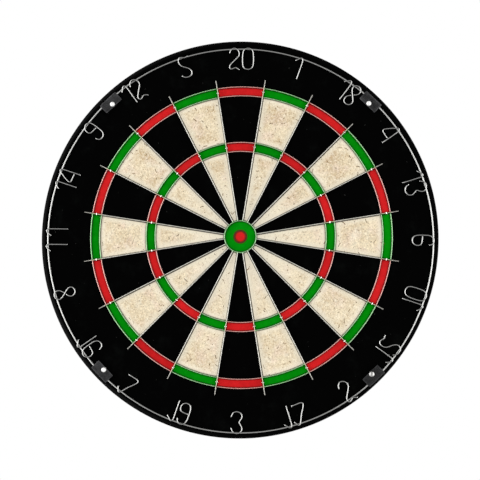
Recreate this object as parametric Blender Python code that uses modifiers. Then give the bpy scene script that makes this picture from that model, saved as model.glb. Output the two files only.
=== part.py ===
"""Bristle dartboard with a round-wire spider and a loose wire number ring.

The board is modelled lying on its back: X runs to the right, Y up the face and Z out of
the wall, which is at Z = 0. An empty called upright then stands it up, so that the face
looks along -Y and the 20 is at the top.
"""

import math

import bmesh
import bpy
from mathutils import Matrix, Vector

MM = 0.001

# Fits
SEAT_GAP = 0.3 * MM
BORE_CLEARANCE = 0.3 * MM

# Scoring wires, measured as dartboards are: to the outside of the double and the treble
SPIDER_WIRE = 1.6 * MM
DOUBLE_OUTSIDE_RADIUS = 170.0 * MM
TREBLE_OUTSIDE_RADIUS = 107.0 * MM
BED_WIDTH = 8.6 * MM
OUTER_BULL_DIAMETER = 34.0 * MM
BULL_DIAMETER = 12.7 * MM
BULL_BAND_THICKNESS = 0.9 * MM
BULL_BAND_DEPTH = 6.0 * MM
BULL_BAND_PROUD = 0.8 * MM
RADIAL_TAIL = 10.0 * MM

# How far the wires, which are fitted by hand, sit from the middle of the disc
SPIDER_SHIFT = (3.0 * MM, 1.2 * MM, 0.0)
NUMBER_SHIFT = (1.2 * MM, -1.7 * MM, 0.0)

# Number ring
NUMBER_WIRE = 1.9 * MM
NUMERAL_HEIGHT = 24.0 * MM
NUMERAL_OVERHANG = 1.7 * MM
NUMBER_FIELD_GAP = 13.4 * MM
WELD_SINK = 0.5 * MM
DIGIT_GAP = 3.7 * MM
ONES_GAP = 10.0 * MM
NUMBER_RING_TURN = math.radians(-0.9)
DIAL = (20, 1, 18, 4, 13, 6, 10, 15, 2, 17, 3, 19, 7, 16, 8, 11, 14, 9, 12, 5)

# Board
STANDOFF = 10.0 * MM
BACKING_THICKNESS = 10.0 * MM
BACKING_CHAMFER = 1.0 * MM
PAD_THICKNESS = 27.7 * MM
EDGE_ROUND = 5.0 * MM
RIM_MARGIN = 8.2 * MM
BAND_THICKNESS = 0.8 * MM
BAND_SETBACK = 0.5 * MM
BAND_SPLIT = 1.5 * MM

# Strap across the split in the band
STRAP_LENGTH = 40.0 * MM
STRAP_WIDTH = 12.0 * MM
STRAP_THICKNESS = 0.8 * MM
STRAP_ANGLE = math.radians(270)
RIVET_SPACING = 22.0 * MM
RIVET_SHANK_DIAMETER = 3.0 * MM
RIVET_HEAD_DIAMETER = 5.6 * MM
RIVET_HEAD_HEIGHT = 1.1 * MM
RIVET_DEPTH = 6.0 * MM

# Swivel clips that hold the number ring
CLIP_ANGLES = tuple(math.radians(angle) for angle in (46.0, 133.0, 224.0, 314.5))
CLIP_LENGTH = 23.4 * MM
CLIP_THICKNESS = 1.2 * MM
CLIP_OVERHANG = 3.05 * MM
CLIP_PIN_EDGE = 2.95 * MM
CLIP_BEVEL = 0.35 * MM
BOSS_DIAMETER = 5.2 * MM
BOSS_RING_GAP = 2.15 * MM
PIN_SHANK_DIAMETER = 2.0 * MM
PIN_HEAD_DIAMETER = 6.0 * MM
PIN_HEAD_HEIGHT = 1.7 * MM
PIN_DEPTH = 14.0 * MM

# Hanging screw at the centre of the back
HANGER_SHANK_DIAMETER = 4.5 * MM
HANGER_HEAD_DIAMETER = 9.0 * MM
HANGER_HEAD_HEIGHT = 3.0 * MM
HANGER_REACH = 3.4 * MM
HANGER_DEPTH = 8.0 * MM
WASHER_DIAMETER = 20.0 * MM
WASHER_THICKNESS = 1.5 * MM

# Feet
FOOT_ANGLES = tuple(math.radians(angle) for angle in (90, 210, 330))
FOOT_MARGIN = 48.9 * MM
FOOT_DIAMETER = 26.0 * MM
FOOT_BASE_DIAMETER = 22.0 * MM
FOOT_RECESS_DIAMETER = 9.0 * MM
FOOT_RECESS_DEPTH = 5.0 * MM
FOOT_SCREW_SHANK_DIAMETER = 3.5 * MM
FOOT_SCREW_HEAD_DIAMETER = 7.0 * MM
FOOT_SCREW_HEAD_HEIGHT = 2.2 * MM
FOOT_SCREW_DEPTH = 7.0 * MM

# Facets
BOARD_STEPS = 80
RING_STEPS = 56
BULL_STEPS = 28
NUMBER_RING_STEPS = 80
FOOT_STEPS = 16
FASTENER_STEPS = 12
STRAP_STEPS = 8
WIRE_SIDES = 6
EDGE_ARC_STEPS = 3
BEND_STEP = math.radians(42)
CUTTER_OVERSHOOT = 2.0 * MM
SEAM_WELD = 0.001 * MM
SHARP_ANGLE = math.radians(40)

# Worked out: distances from the wall
BACKING_FRONT = STANDOFF + BACKING_THICKNESS
PAD_BACK = BACKING_FRONT + SEAT_GAP
FACE = PAD_BACK + PAD_THICKNESS
EDGE_BOTTOM = FACE - EDGE_ROUND
BAND_FRONT = EDGE_BOTTOM - BAND_SETBACK
STRAP_MIDDLE = (PAD_BACK + BAND_FRONT) / 2
RING_WIRE_LEVEL = FACE + SEAT_GAP + SPIDER_WIRE / 2
RADIAL_WIRE_LEVEL = RING_WIRE_LEVEL + SPIDER_WIRE + SEAT_GAP
NUMBER_RING_LEVEL = FACE + SEAT_GAP + NUMBER_WIRE / 2
DIGIT_LEVEL = NUMBER_RING_LEVEL + NUMBER_WIRE - WELD_SINK
CLIP_BACK = NUMBER_RING_LEVEL + NUMBER_WIRE / 2 + SEAT_GAP
CLIP_FRONT = CLIP_BACK + CLIP_THICKNESS
PIN_HEAD_SEAT = CLIP_FRONT + SEAT_GAP
WASHER_FRONT = STANDOFF - SEAT_GAP
HANGER_HEAD_SEAT = WASHER_FRONT - WASHER_THICKNESS - HANGER_REACH

# Worked out: distances from the centre of each seat
BULL_WIRE_RADIUS = (OUTER_BULL_DIAMETER + SPIDER_WIRE) / 2
TREBLE_OUTER_RADIUS = TREBLE_OUTSIDE_RADIUS - SPIDER_WIRE / 2
TREBLE_INNER_RADIUS = TREBLE_OUTER_RADIUS - SPIDER_WIRE - BED_WIDTH
DOUBLE_OUTER_RADIUS = DOUBLE_OUTSIDE_RADIUS - SPIDER_WIRE / 2
DOUBLE_INNER_RADIUS = DOUBLE_OUTER_RADIUS - SPIDER_WIRE - BED_WIDTH
BULL_BAND_RADIUS = (BULL_DIAMETER + BULL_BAND_THICKNESS) / 2
RADIAL_TIP_RADIUS = DOUBLE_OUTSIDE_RADIUS + RADIAL_TAIL
NUMBER_RING_RADIUS = RADIAL_TIP_RADIUS + NUMBER_FIELD_GAP + NUMERAL_HEIGHT - NUMERAL_OVERHANG
BOARD_RADIUS = NUMBER_RING_RADIUS + RIM_MARGIN
PAD_RADIUS = BOARD_RADIUS - BAND_THICKNESS - SEAT_GAP
STRAP_INNER_RADIUS = BOARD_RADIUS + SEAT_GAP
STRAP_OUTER_RADIUS = STRAP_INNER_RADIUS + STRAP_THICKNESS
CLIP_PIN_OFFSET = (NUMBER_WIRE + BOSS_DIAMETER) / 2 + BOSS_RING_GAP
CLIP_PIN_RADIUS = NUMBER_RING_RADIUS - CLIP_PIN_OFFSET
CLIP_WIDTH = CLIP_PIN_EDGE + CLIP_PIN_OFFSET + CLIP_OVERHANG
FOOT_CIRCLE_RADIUS = BOARD_RADIUS - FOOT_MARGIN
SECTOR = 2 * math.pi / len(DIAL)
TOP = math.pi / 2

# Bent-wire digits: points on a grid GLYPH_HEIGHT units high, in the order the wire runs.
# A loose end stops MEET short of the stroke that it closes on.
GLYPH_HEIGHT = 24.0
GLYPH_UNIT = NUMERAL_HEIGHT / GLYPH_HEIGHT
MEET = (NUMBER_WIRE + 2 * SEAT_GAP) / GLYPH_UNIT
SIX_SIDE = -5.6
FOUR_STEM = 5.6
ONE = ((0, 0), (0, 20.4), (-0.6, 23.0), (-2.3, 24.0), (-4.1, 22.9), (-7.6, 19.2))
TWO = (
    (-5.6, 18.6), (-4.1, 22.0), (-0.4, 24.0), (3.7, 22.0), (5.3, 17.8), (4.0, 14.2),
    (-4.3, 5.6), (-5.4, 2.4), (-4.0, 0.4), (-1.6, 0.8), (1.4, 1.9), (3.6, 1.0), (5.6, -0.6),
)
THREE = (
    (-6.0, 18.4), (-3.6, 22.7), (0.5, 24.0), (4.8, 22.0), (6.0, 18.4), (4.7, 15.3), (3.0, 12.3),
    (4.5, 9.4), (6.1, 5.6), (4.6, 1.7), (0.2, 0.0), (-4.0, 1.8), (-6.0, 5.8),
)
FOUR = (
    (FOUR_STEM, 0.2), (FOUR_STEM, 21.0), (4.0, 24.0), (1.8, 22.8),
    (-5.4, 11.2), (-5.2, 8.6), (-3.2, 7.9), (FOUR_STEM - MEET, 7.4),
)
FIVE = (
    (6.0, 23.2), (2.6, 22.3), (-1.0, 23.6), (-3.6, 23.7), (-5.3, 21.6), (-5.4, 18.4), (-4.2, 15.0),
    (-1.6, 12.6), (2.4, 10.0), (5.0, 7.2), (5.6, 3.8), (3.6, 0.7), (-0.6, 0.0), (-4.0, 1.0), (-6.2, 3.4),
)
SIX = (
    (5.6, 18.8), (4.0, 22.6), (0.5, 24.0), (-3.2, 22.6), (-5.2, 19.0), (SIX_SIDE, 13.6),
    (-5.5, 6.4), (-4.0, 1.8), (0.0, 0.0), (4.2, 1.8), (5.8, 6.0), (4.6, 9.6), (1.8, 10.8),
    (SIX_SIDE + MEET, 11.4),
)
SEVEN = (
    (-6.6, 22.2), (-1.0, 22.7), (4.6, 23.0), (6.4, 21.4), (5.8, 18.6), (1.6, 11.0), (-0.6, 6.0),
    (-2.4, 1.8), (-4.0, 0.1), (-5.6, 0.4), (-8.6, 4.6),
)
EIGHT_CROSSING = (-0.1, 12.1)
EIGHT_LEAN = math.radians(40.8)
EIGHT_SLANT = 0.6
EIGHT_MEET = (
    (MEET + EIGHT_SLANT) * math.cos(EIGHT_LEAN),
    (MEET + EIGHT_SLANT) * math.sin(EIGHT_LEAN),
)
EIGHT = (
    (EIGHT_CROSSING[0] + EIGHT_MEET[0], EIGHT_CROSSING[1] + EIGHT_MEET[1]),
    (4.3, 16.2), (5.1, 19.6), (3.4, 22.9), (0.1, 24.0), (-3.5, 22.8), (-4.9, 19.6), (-3.6, 16.2),
    EIGHT_CROSSING,
    (3.3, 8.2), (4.8, 5.0), (3.2, 1.3), (-0.4, 0.0), (-4.0, 1.3), (-5.1, 4.8), (-4.2, 8.0),
    (EIGHT_CROSSING[0] - EIGHT_MEET[0], EIGHT_CROSSING[1] - EIGHT_MEET[1]),
)
ZERO = (
    (0.0, 24.0), (-4.2, 22.4), (-5.9, 18.0), (-6.0, 6.0), (-4.3, 1.6),
    (0.0, 0.0), (4.3, 1.6), (6.0, 6.0), (5.9, 18.0), (4.2, 22.4),
)
NINE = tuple((-x, GLYPH_HEIGHT - y) for x, y in SIX)
GLYPHS = {
    "0": ZERO, "1": ONE, "2": TWO, "3": THREE, "4": FOUR,
    "5": FIVE, "6": SIX, "7": SEVEN, "8": EIGHT, "9": NINE,
}
CLOSED_GLYPHS = "0"


def clear_scene():
    """Empty the file, so that the script can run twice."""
    for old in list(bpy.data.objects):
        bpy.data.objects.remove(old, do_unlink=True)


def new_collection(name):
    """A collection in the scene."""
    made = bpy.data.collections.new(name)
    bpy.context.scene.collection.children.link(made)
    return made


def finish(name, colour, roughness, metallic):
    """A plain Principled finish; the colour is linear."""
    made = bpy.data.materials.new(name)
    made.use_nodes = True
    shader = made.node_tree.nodes["Principled BSDF"]
    shader.inputs["Base Color"].default_value = (*colour, 1.0)
    shader.inputs["Roughness"].default_value = roughness
    shader.inputs["Metallic"].default_value = metallic
    return made


clear_scene()
PARTS = new_collection("dartboard")
CUTTERS = new_collection("cutters")
DIGITS = new_collection("digits")



def seat(name, parent=None, at=(0, 0, 0), turn=(0, 0, 0)):
    """An empty that pieces are placed on."""
    made = bpy.data.objects.new(name, None)
    made.parent = parent
    made.location = at
    made.rotation_euler = turn
    PARTS.objects.link(made)
    return made


UPRIGHT = seat("upright", turn=(math.pi / 2, 0, 0))
SPIDER_SEAT = seat("spider_seat", UPRIGHT, SPIDER_SHIFT)
NUMBER_SEAT = seat("number_seat", UPRIGHT, NUMBER_SHIFT)

BLACK_SISAL = finish("black_sisal", (0.004, 0.004, 0.004), 0.95, 0.0)
CREAM_SISAL = finish("cream_sisal", (0.86, 0.74, 0.54), 0.95, 0.0)
RED_SISAL = finish("red_sisal", (0.66, 0.012, 0.015), 0.95, 0.0)
GREEN_SISAL = finish("green_sisal", (0.0, 0.24, 0.006), 0.95, 0.0)
CHIPBOARD = finish("black_chipboard", (0.012, 0.011, 0.010), 0.8, 0.0)
BLACK_BAND = finish("black_band", (0.008, 0.008, 0.008), 0.45, 0.0)
BRIGHT_WIRE = finish("galvanised_wire", (0.62, 0.62, 0.60), 0.35, 1.0)
DULL_STEEL = finish("dull_steel", (0.22, 0.16, 0.10), 0.5, 1.0)
CLIP_GREY = finish("grey_plastic", (0.035, 0.035, 0.037), 0.45, 0.0)
NICKEL = finish("nickel", (0.80, 0.79, 0.76), 0.2, 1.0)
ZINC = finish("zinc", (0.55, 0.55, 0.53), 0.4, 1.0)
RUBBER = finish("rubber", (0.015, 0.015, 0.015), 0.85, 0.0)


def place(piece, material, at=(0, 0, 0), turn=(0, 0, 0), on=UPRIGHT):
    """Give a piece its finish and its place on one of the seats."""
    piece.location = at
    piece.rotation_euler = turn
    piece.parent = on
    for owner in list(piece.users_collection):
        owner.objects.unlink(piece)
    PARTS.objects.link(piece)
    if material and not piece.data.materials:
        piece.data.materials.append(material)
    return piece


def as_cutter(piece, at=(0, 0, 0), turn=(0, 0, 0), owner=CUTTERS, on=UPRIGHT):
    """Place a shape that only cuts or joins others, hidden from the result."""
    place(piece, None, at, turn, on)
    PARTS.objects.unlink(piece)
    owner.objects.link(piece)
    piece.hide_render = True
    piece.display_type = "WIRE"
    return piece


def boolean(piece, other, operation):
    """Cut another object out of a piece, or join it on."""
    made = piece.modifiers.new(other.name, "BOOLEAN")
    made.operation = operation
    made.solver = "EXACT"
    made.object = other


def plain_mesh(piece):
    """The same object as a mesh with nothing left to evaluate, its seams welded."""
    evaluated = piece.evaluated_get(bpy.context.evaluated_depsgraph_get())
    mesh = bpy.data.meshes.new_from_object(evaluated)
    shape = bmesh.new()
    shape.from_mesh(mesh)
    bmesh.ops.remove_doubles(shape, verts=shape.verts, dist=SEAM_WELD)
    shape.to_mesh(mesh)
    shape.free()
    name = piece.name
    made = bpy.data.objects.new(name, mesh)
    made.matrix_world = piece.matrix_world
    bpy.data.objects.remove(piece, do_unlink=True)
    made.name = name
    PARTS.objects.link(made)
    return made


def rounded(piece):
    """Shade a piece smooth, except over its sharp edges."""
    piece.data.shade_smooth()
    piece.data.set_sharp_from_angle(angle=SHARP_ANGLE)
    return piece


def turned(name, profile, steps, closed=False):
    """A solid of revolution about Z. The profile is (radius, height), from the top down."""
    mesh = bpy.data.meshes.new(name)
    edges = [(i, i + 1) for i in range(len(profile) - 1)]
    if closed:
        edges.append((len(profile) - 1, 0))
    mesh.from_pydata([(radius, 0, height) for radius, height in profile], edges, [])
    made = bpy.data.objects.new(name, mesh)
    PARTS.objects.link(made)
    screw = made.modifiers.new("turn", "SCREW")
    screw.steps = steps
    screw.render_steps = steps
    screw.use_merge_vertices = True
    screw.merge_threshold = SEAM_WELD
    return rounded(plain_mesh(made))


def rod(name, radius, low, high, sides=FASTENER_STEPS):
    """A cylinder along Z between two heights."""
    middle = (low + high) / 2
    bpy.ops.mesh.primitive_cylinder_add(vertices=sides, radius=radius, depth=high - low)
    made = bpy.context.object
    made.name = name
    made.data.transform(Matrix.Translation((0, 0, middle)))
    return rounded(made)


def drill(piece, name, radius, low, high, at=(0, 0, 0), turn=(0, 0, 0), on=UPRIGHT):
    """Cut a round hole along the local Z of a place."""
    boolean(piece, as_cutter(rod(name, radius, low, high), at, turn, on=on), "DIFFERENCE")


def wire_ring(name, radius, wire, level, steps):
    """A wire bent into a full circle."""
    bpy.ops.mesh.primitive_torus_add(
        major_radius=radius, minor_radius=wire / 2, major_segments=steps, minor_segments=WIRE_SIDES
    )
    made = bpy.context.object
    made.name = name
    made.data.transform(Matrix.Translation((0, 0, level)))
    return rounded(made)


def arc(centre, width, height, start, end, steps):
    """Points on part of an ellipse, angles in degrees."""
    angles = [math.radians(start + (end - start) * i / steps) for i in range(steps + 1)]
    return [(centre[0] + width * math.cos(a), centre[1] + height * math.sin(a)) for a in angles]


def on_circle(radius, angle, level=0.0):
    """A point at this angle round a seat."""
    return (radius * math.cos(angle), radius * math.sin(angle), level)


def outward(angle):
    """The turn that points a piece's Z away from the board's centre."""
    return (0, math.pi / 2, angle)


def strap_angle(along):
    """The angle round the board of a point this far along the strap from its middle."""
    return STRAP_ANGLE + along / BOARD_RADIUS


def rivet_angles():
    """The rivets stand either side of the split in the band."""
    return [strap_angle(side * RIVET_SPACING / 2) for side in (-1, 1)]


def dye(x, y):
    """Which of the pad's finishes colours this point of the face."""
    radius = math.hypot(x, y)
    if radius < BULL_BAND_RADIUS:
        return RED_SISAL
    if radius < BULL_WIRE_RADIUS:
        return GREEN_SISAL
    if radius > DOUBLE_OUTER_RADIUS:
        return BLACK_SISAL
    dark = math.floor((TOP - math.atan2(y, x)) / SECTOR + 0.5) % 2 == 0
    in_treble = TREBLE_INNER_RADIUS < radius < TREBLE_OUTER_RADIUS
    if in_treble or radius > DOUBLE_INNER_RADIUS:
        return RED_SISAL if dark else GREEN_SISAL
    return BLACK_SISAL if dark else CREAM_SISAL


def build_backing():
    """Chipboard disc that carries the pad, the hanging screw and the feet."""
    profile = (
        (0, BACKING_FRONT),
        (PAD_RADIUS, BACKING_FRONT),
        (PAD_RADIUS, STANDOFF + BACKING_CHAMFER),
        (PAD_RADIUS - BACKING_CHAMFER, STANDOFF),
        (0, STANDOFF),
    )
    backing = place(turned("backing_board", profile, BOARD_STEPS), CHIPBOARD)
    start = STANDOFF - CUTTER_OVERSHOOT
    end = STANDOFF + HANGER_DEPTH + BORE_CLEARANCE
    drill(backing, "hanger_hole", HANGER_SHANK_DIAMETER / 2 + BORE_CLEARANCE, start, end)
    radius = FOOT_SCREW_SHANK_DIAMETER / 2 + BORE_CLEARANCE
    end = STANDOFF + FOOT_SCREW_DEPTH + BORE_CLEARANCE
    for number, angle in enumerate(FOOT_ANGLES, 1):
        at = on_circle(FOOT_CIRCLE_RADIUS, angle)
        drill(backing, f"foot_hole_{number}", radius, start, end, at)


def build_pad():
    """Compressed sisal disc, dyed in sectors, with a rounded front edge."""
    dye_edges = (
        BULL_BAND_RADIUS, BULL_WIRE_RADIUS, TREBLE_INNER_RADIUS, TREBLE_OUTER_RADIUS,
        DOUBLE_INNER_RADIUS, DOUBLE_OUTER_RADIUS,
    )
    edge_centre = (PAD_RADIUS - EDGE_ROUND, EDGE_BOTTOM)
    profile = [(0, FACE)]
    profile += [(radius, FACE) for radius in dye_edges]
    profile += arc(edge_centre, EDGE_ROUND, EDGE_ROUND, 90, 0, EDGE_ARC_STEPS)
    profile += [(PAD_RADIUS, PAD_BACK), (0, PAD_BACK)]
    pad = turned("sisal_pad", profile, BOARD_STEPS)
    for slot in (BLACK_SISAL, CREAM_SISAL, RED_SISAL, GREEN_SISAL):
        pad.data.materials.append(slot)
    for face in pad.data.polygons:
        if face.center.z > EDGE_BOTTOM:
            colour = dye(face.center.x, face.center.y)
            face.material_index = pad.data.materials.find(colour.name)
    for vertex in pad.data.vertices:
        if vertex.co.z > EDGE_BOTTOM and vertex.co.xy.length < DOUBLE_OUTSIDE_RADIUS:
            vertex.co.xy += Vector(SPIDER_SHIFT).xy
    place(pad, None)

    bottom = FACE - BULL_BAND_DEPTH - SEAT_GAP
    inner = BULL_DIAMETER / 2 - SEAT_GAP
    outer = inner + BULL_BAND_THICKNESS + 2 * SEAT_GAP
    top = FACE + CUTTER_OVERSHOOT
    groove = ((inner, top), (outer, top), (outer, bottom), (inner, bottom))
    cutter = as_cutter(turned("bull_groove", groove, BULL_STEPS, closed=True), on=SPIDER_SEAT)
    boolean(pad, cutter, "DIFFERENCE")

    radius = PIN_SHANK_DIAMETER / 2 + BORE_CLEARANCE
    bottom = FACE - PIN_DEPTH - BORE_CLEARANCE
    for number, angle in enumerate(CLIP_ANGLES, 1):
        at = on_circle(CLIP_PIN_RADIUS, angle)
        drill(pad, f"pin_hole_{number}", radius, bottom, top, at, on=NUMBER_SEAT)

    radius = RIVET_SHANK_DIAMETER / 2 + BORE_CLEARANCE
    for number, angle in enumerate(rivet_angles(), 1):
        at = on_circle(BOARD_RADIUS, angle, STRAP_MIDDLE)
        depth = RIVET_DEPTH + BORE_CLEARANCE
        drill(pad, f"rivet_hole_{number}", radius, -depth, CUTTER_OVERSHOOT, at, outward(angle))


def build_band():
    """Steel band round the board, split at the bottom and joined by a riveted strap."""
    inner = BOARD_RADIUS - BAND_THICKNESS
    section = (
        (inner, BAND_FRONT),
        (BOARD_RADIUS, BAND_FRONT),
        (BOARD_RADIUS, STANDOFF),
        (inner, STANDOFF),
    )
    band = place(turned("rim_band", section, BOARD_STEPS, closed=True), BLACK_BAND)
    bpy.ops.mesh.primitive_cube_add(size=1)
    split = bpy.context.object
    split.name = "band_split"
    split.scale = (
        BAND_SPLIT,
        BAND_THICKNESS + 2 * CUTTER_OVERSHOOT,
        BAND_FRONT - STANDOFF + 2 * CUTTER_OVERSHOOT,
    )
    middle = on_circle(BOARD_RADIUS - BAND_THICKNESS / 2, STRAP_ANGLE, (STANDOFF + BAND_FRONT) / 2)
    boolean(band, as_cutter(split, middle, (0, 0, STRAP_ANGLE - TOP)), "DIFFERENCE")

    half = STRAP_LENGTH / 2
    ends = (math.degrees(strap_angle(-half)), math.degrees(strap_angle(half)))
    outline = arc((0, 0), STRAP_OUTER_RADIUS, STRAP_OUTER_RADIUS, *ends, STRAP_STEPS)
    outline += arc((0, 0), STRAP_INNER_RADIUS, STRAP_INNER_RADIUS, *reversed(ends), STRAP_STEPS)
    curve = bpy.data.curves.new("band_strap", "CURVE")
    curve.dimensions = "2D"
    curve.fill_mode = "BOTH"
    curve.extrude = STRAP_WIDTH / 2
    spline = curve.splines.new("POLY")
    spline.points.add(len(outline) - 1)
    for point, (x, y) in zip(spline.points, outline):
        point.co = (x, y, 0, 1)
    spline.use_cyclic_u = True
    strap = bpy.data.objects.new("band_strap", curve)
    PARTS.objects.link(strap)
    strap = place(plain_mesh(strap), BLACK_BAND, (0, 0, STRAP_MIDDLE))

    shank = RIVET_SHANK_DIAMETER / 2
    seat = STRAP_OUTER_RADIUS - BOARD_RADIUS + SEAT_GAP
    profile = arc((0, seat), RIVET_HEAD_DIAMETER / 2, RIVET_HEAD_HEIGHT, 90, 0, EDGE_ARC_STEPS)
    profile += [(shank, seat), (shank, -RIVET_DEPTH), (0, -RIVET_DEPTH)]
    for number, angle in enumerate(rivet_angles(), 1):
        at = on_circle(BOARD_RADIUS, angle, STRAP_MIDDLE)
        rivet = turned(f"band_rivet_{number}", profile, FASTENER_STEPS)
        place(rivet, BLACK_BAND, at, outward(angle))
        radius = shank + BORE_CLEARANCE
        name = f"strap_hole_{number}"
        hole = as_cutter(rod(name, radius, -RIVET_DEPTH, RIVET_DEPTH), at, outward(angle))
        boolean(band, hole, "DIFFERENCE")
        boolean(strap, hole, "DIFFERENCE")


def build_spider():
    """The scoring wires: five rings on the pad, and twenty radials across them."""
    rings = (
        ("wire_bull", BULL_WIRE_RADIUS, BULL_STEPS),
        ("wire_treble_inner", TREBLE_INNER_RADIUS, RING_STEPS),
        ("wire_treble_outer", TREBLE_OUTER_RADIUS, RING_STEPS),
        ("wire_double_inner", DOUBLE_INNER_RADIUS, RING_STEPS),
        ("wire_double_outer", DOUBLE_OUTER_RADIUS, RING_STEPS),
    )
    for name, radius, steps in rings:
        wire = wire_ring(name, radius, SPIDER_WIRE, RING_WIRE_LEVEL, steps)
        place(wire, BRIGHT_WIRE, on=SPIDER_SEAT)
    for number in range(len(DIAL)):
        angle = TOP - (number + 0.5) * SECTOR
        name = f"radial_wire_{number + 1:02d}"
        wire = rod(name, SPIDER_WIRE / 2, BULL_WIRE_RADIUS, RADIAL_TIP_RADIUS, WIRE_SIDES)
        place(wire, BRIGHT_WIRE, (0, 0, RADIAL_WIRE_LEVEL), outward(angle), SPIDER_SEAT)

    inner = BULL_DIAMETER / 2
    outer = inner + BULL_BAND_THICKNESS
    top = FACE + BULL_BAND_PROUD
    bottom = FACE - BULL_BAND_DEPTH
    section = ((inner, top), (outer, top), (outer, bottom), (inner, bottom))
    place(turned("bull_band", section, BULL_STEPS, closed=True), DULL_STEEL, on=SPIDER_SEAT)


def unit(start, end):
    """The direction from one point to another."""
    length = math.dist(start, end)
    return ((end[0] - start[0]) / length, (end[1] - start[1]) / length)


def bent_wire(points, closed):
    """Points along a smooth wire through the given ones, closer together where it bends."""
    count = len(points)
    spans = count if closed else count - 1
    tangents = []
    for i in range(count):
        before = points[i - 1] if closed or i > 0 else points[i]
        after = points[(i + 1) % count] if closed or i < count - 1 else points[i]
        tangents.append(unit(before, after))
    path = []
    for i in range(spans):
        start, end = points[i], points[(i + 1) % count]
        leave, arrive = tangents[i], tangents[(i + 1) % count]
        length = math.dist(start, end)
        cosine = leave[0] * arrive[0] + leave[1] * arrive[1]
        steps = 1 + int(math.acos(max(-1.0, min(1.0, cosine))) / BEND_STEP)
        for step in range(steps):
            t = step / steps
            weights = (
                (1 + 2 * t) * (1 - t) ** 2,
                t * (1 - t) ** 2 * length,
                t * t * (3 - 2 * t),
                t * t * (t - 1) * length,
            )
            rows = zip(start, leave, end, arrive)
            path.append(tuple(sum(w * v for w, v in zip(weights, row)) for row in rows))
    if not closed:
        path.append(points[-1])
    return path


def numeral(number, hook_below):
    """The digits of a number, laid out side by side and centred: (character, points) each.

    A figure one is hooked at the end that is welded to the ring.
    """
    laid_out = []
    edge = 0.0
    for place_in_number, character in enumerate(str(number)):
        glyph = GLYPHS[character]
        if character == "1" and hook_below:
            glyph = tuple((x, GLYPH_HEIGHT - y) for x, y in glyph)
        if place_in_number:
            edge += (ONES_GAP if number == 11 else DIGIT_GAP) / GLYPH_UNIT
        left = min(x for x, _ in glyph)
        laid_out.append((character, [(x - left + edge, y) for x, y in glyph]))
        edge += max(x for x, _ in glyph) - left
    return [(character, [(x - edge / 2, y) for x, y in points]) for character, points in laid_out]


def digit_wire(name, character, points, angle, hook_below):
    """One digit as a wire solid, lying across the front of the ring."""
    path = bent_wire(points, character in CLOSED_GLYPHS)
    along = sum(x for x, _ in points) / len(points) * GLYPH_UNIT
    ring_line = math.sqrt(NUMBER_RING_RADIUS**2 - along**2)
    radial = (math.cos(angle), math.sin(angle))
    clockwise = (math.sin(angle), -math.cos(angle))
    sign = -1 if hook_below else 1
    datum = NUMERAL_OVERHANG if hook_below else NUMERAL_HEIGHT - NUMERAL_OVERHANG
    curve = bpy.data.curves.new(name, "CURVE")
    curve.dimensions = "3D"
    curve.bevel_depth = NUMBER_WIRE / 2
    curve.bevel_resolution = 1
    curve.use_fill_caps = True
    spline = curve.splines.new("POLY")
    spline.points.add(len(path) - 1)
    for point, (x, y) in zip(spline.points, path):
        out = ring_line + sign * (y * GLYPH_UNIT - datum)
        across = sign * x * GLYPH_UNIT
        point.co = (
            out * radial[0] + across * clockwise[0],
            out * radial[1] + across * clockwise[1],
            DIGIT_LEVEL,
            1,
        )
    spline.use_cyclic_u = character in CLOSED_GLYPHS
    wire = bpy.data.objects.new(name, curve)
    PARTS.objects.link(wire)
    return as_cutter(plain_mesh(wire), owner=DIGITS, on=NUMBER_SEAT)


def build_number_ring():
    """Loose wire ring with the twenty bent-wire numbers welded across its front."""
    for step, number in enumerate(DIAL):
        angle = TOP - step * SECTOR + NUMBER_RING_TURN
        hook_below = math.sin(TOP - step * SECTOR) < -math.sin(SECTOR / 2)
        for index, (character, points) in enumerate(numeral(number, hook_below), 1):
            digit_wire(f"digit_{number}_{index}", character, points, angle, hook_below)
    steps = NUMBER_RING_STEPS
    ring = wire_ring("number_ring", NUMBER_RING_RADIUS, NUMBER_WIRE, NUMBER_RING_LEVEL, steps)
    place(ring, BRIGHT_WIRE, on=NUMBER_SEAT)
    weld = ring.modifiers.new("weld", "BOOLEAN")
    weld.operation = "UNION"
    weld.solver = "EXACT"
    weld.operand_type = "COLLECTION"
    weld.collection = DIGITS


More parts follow.
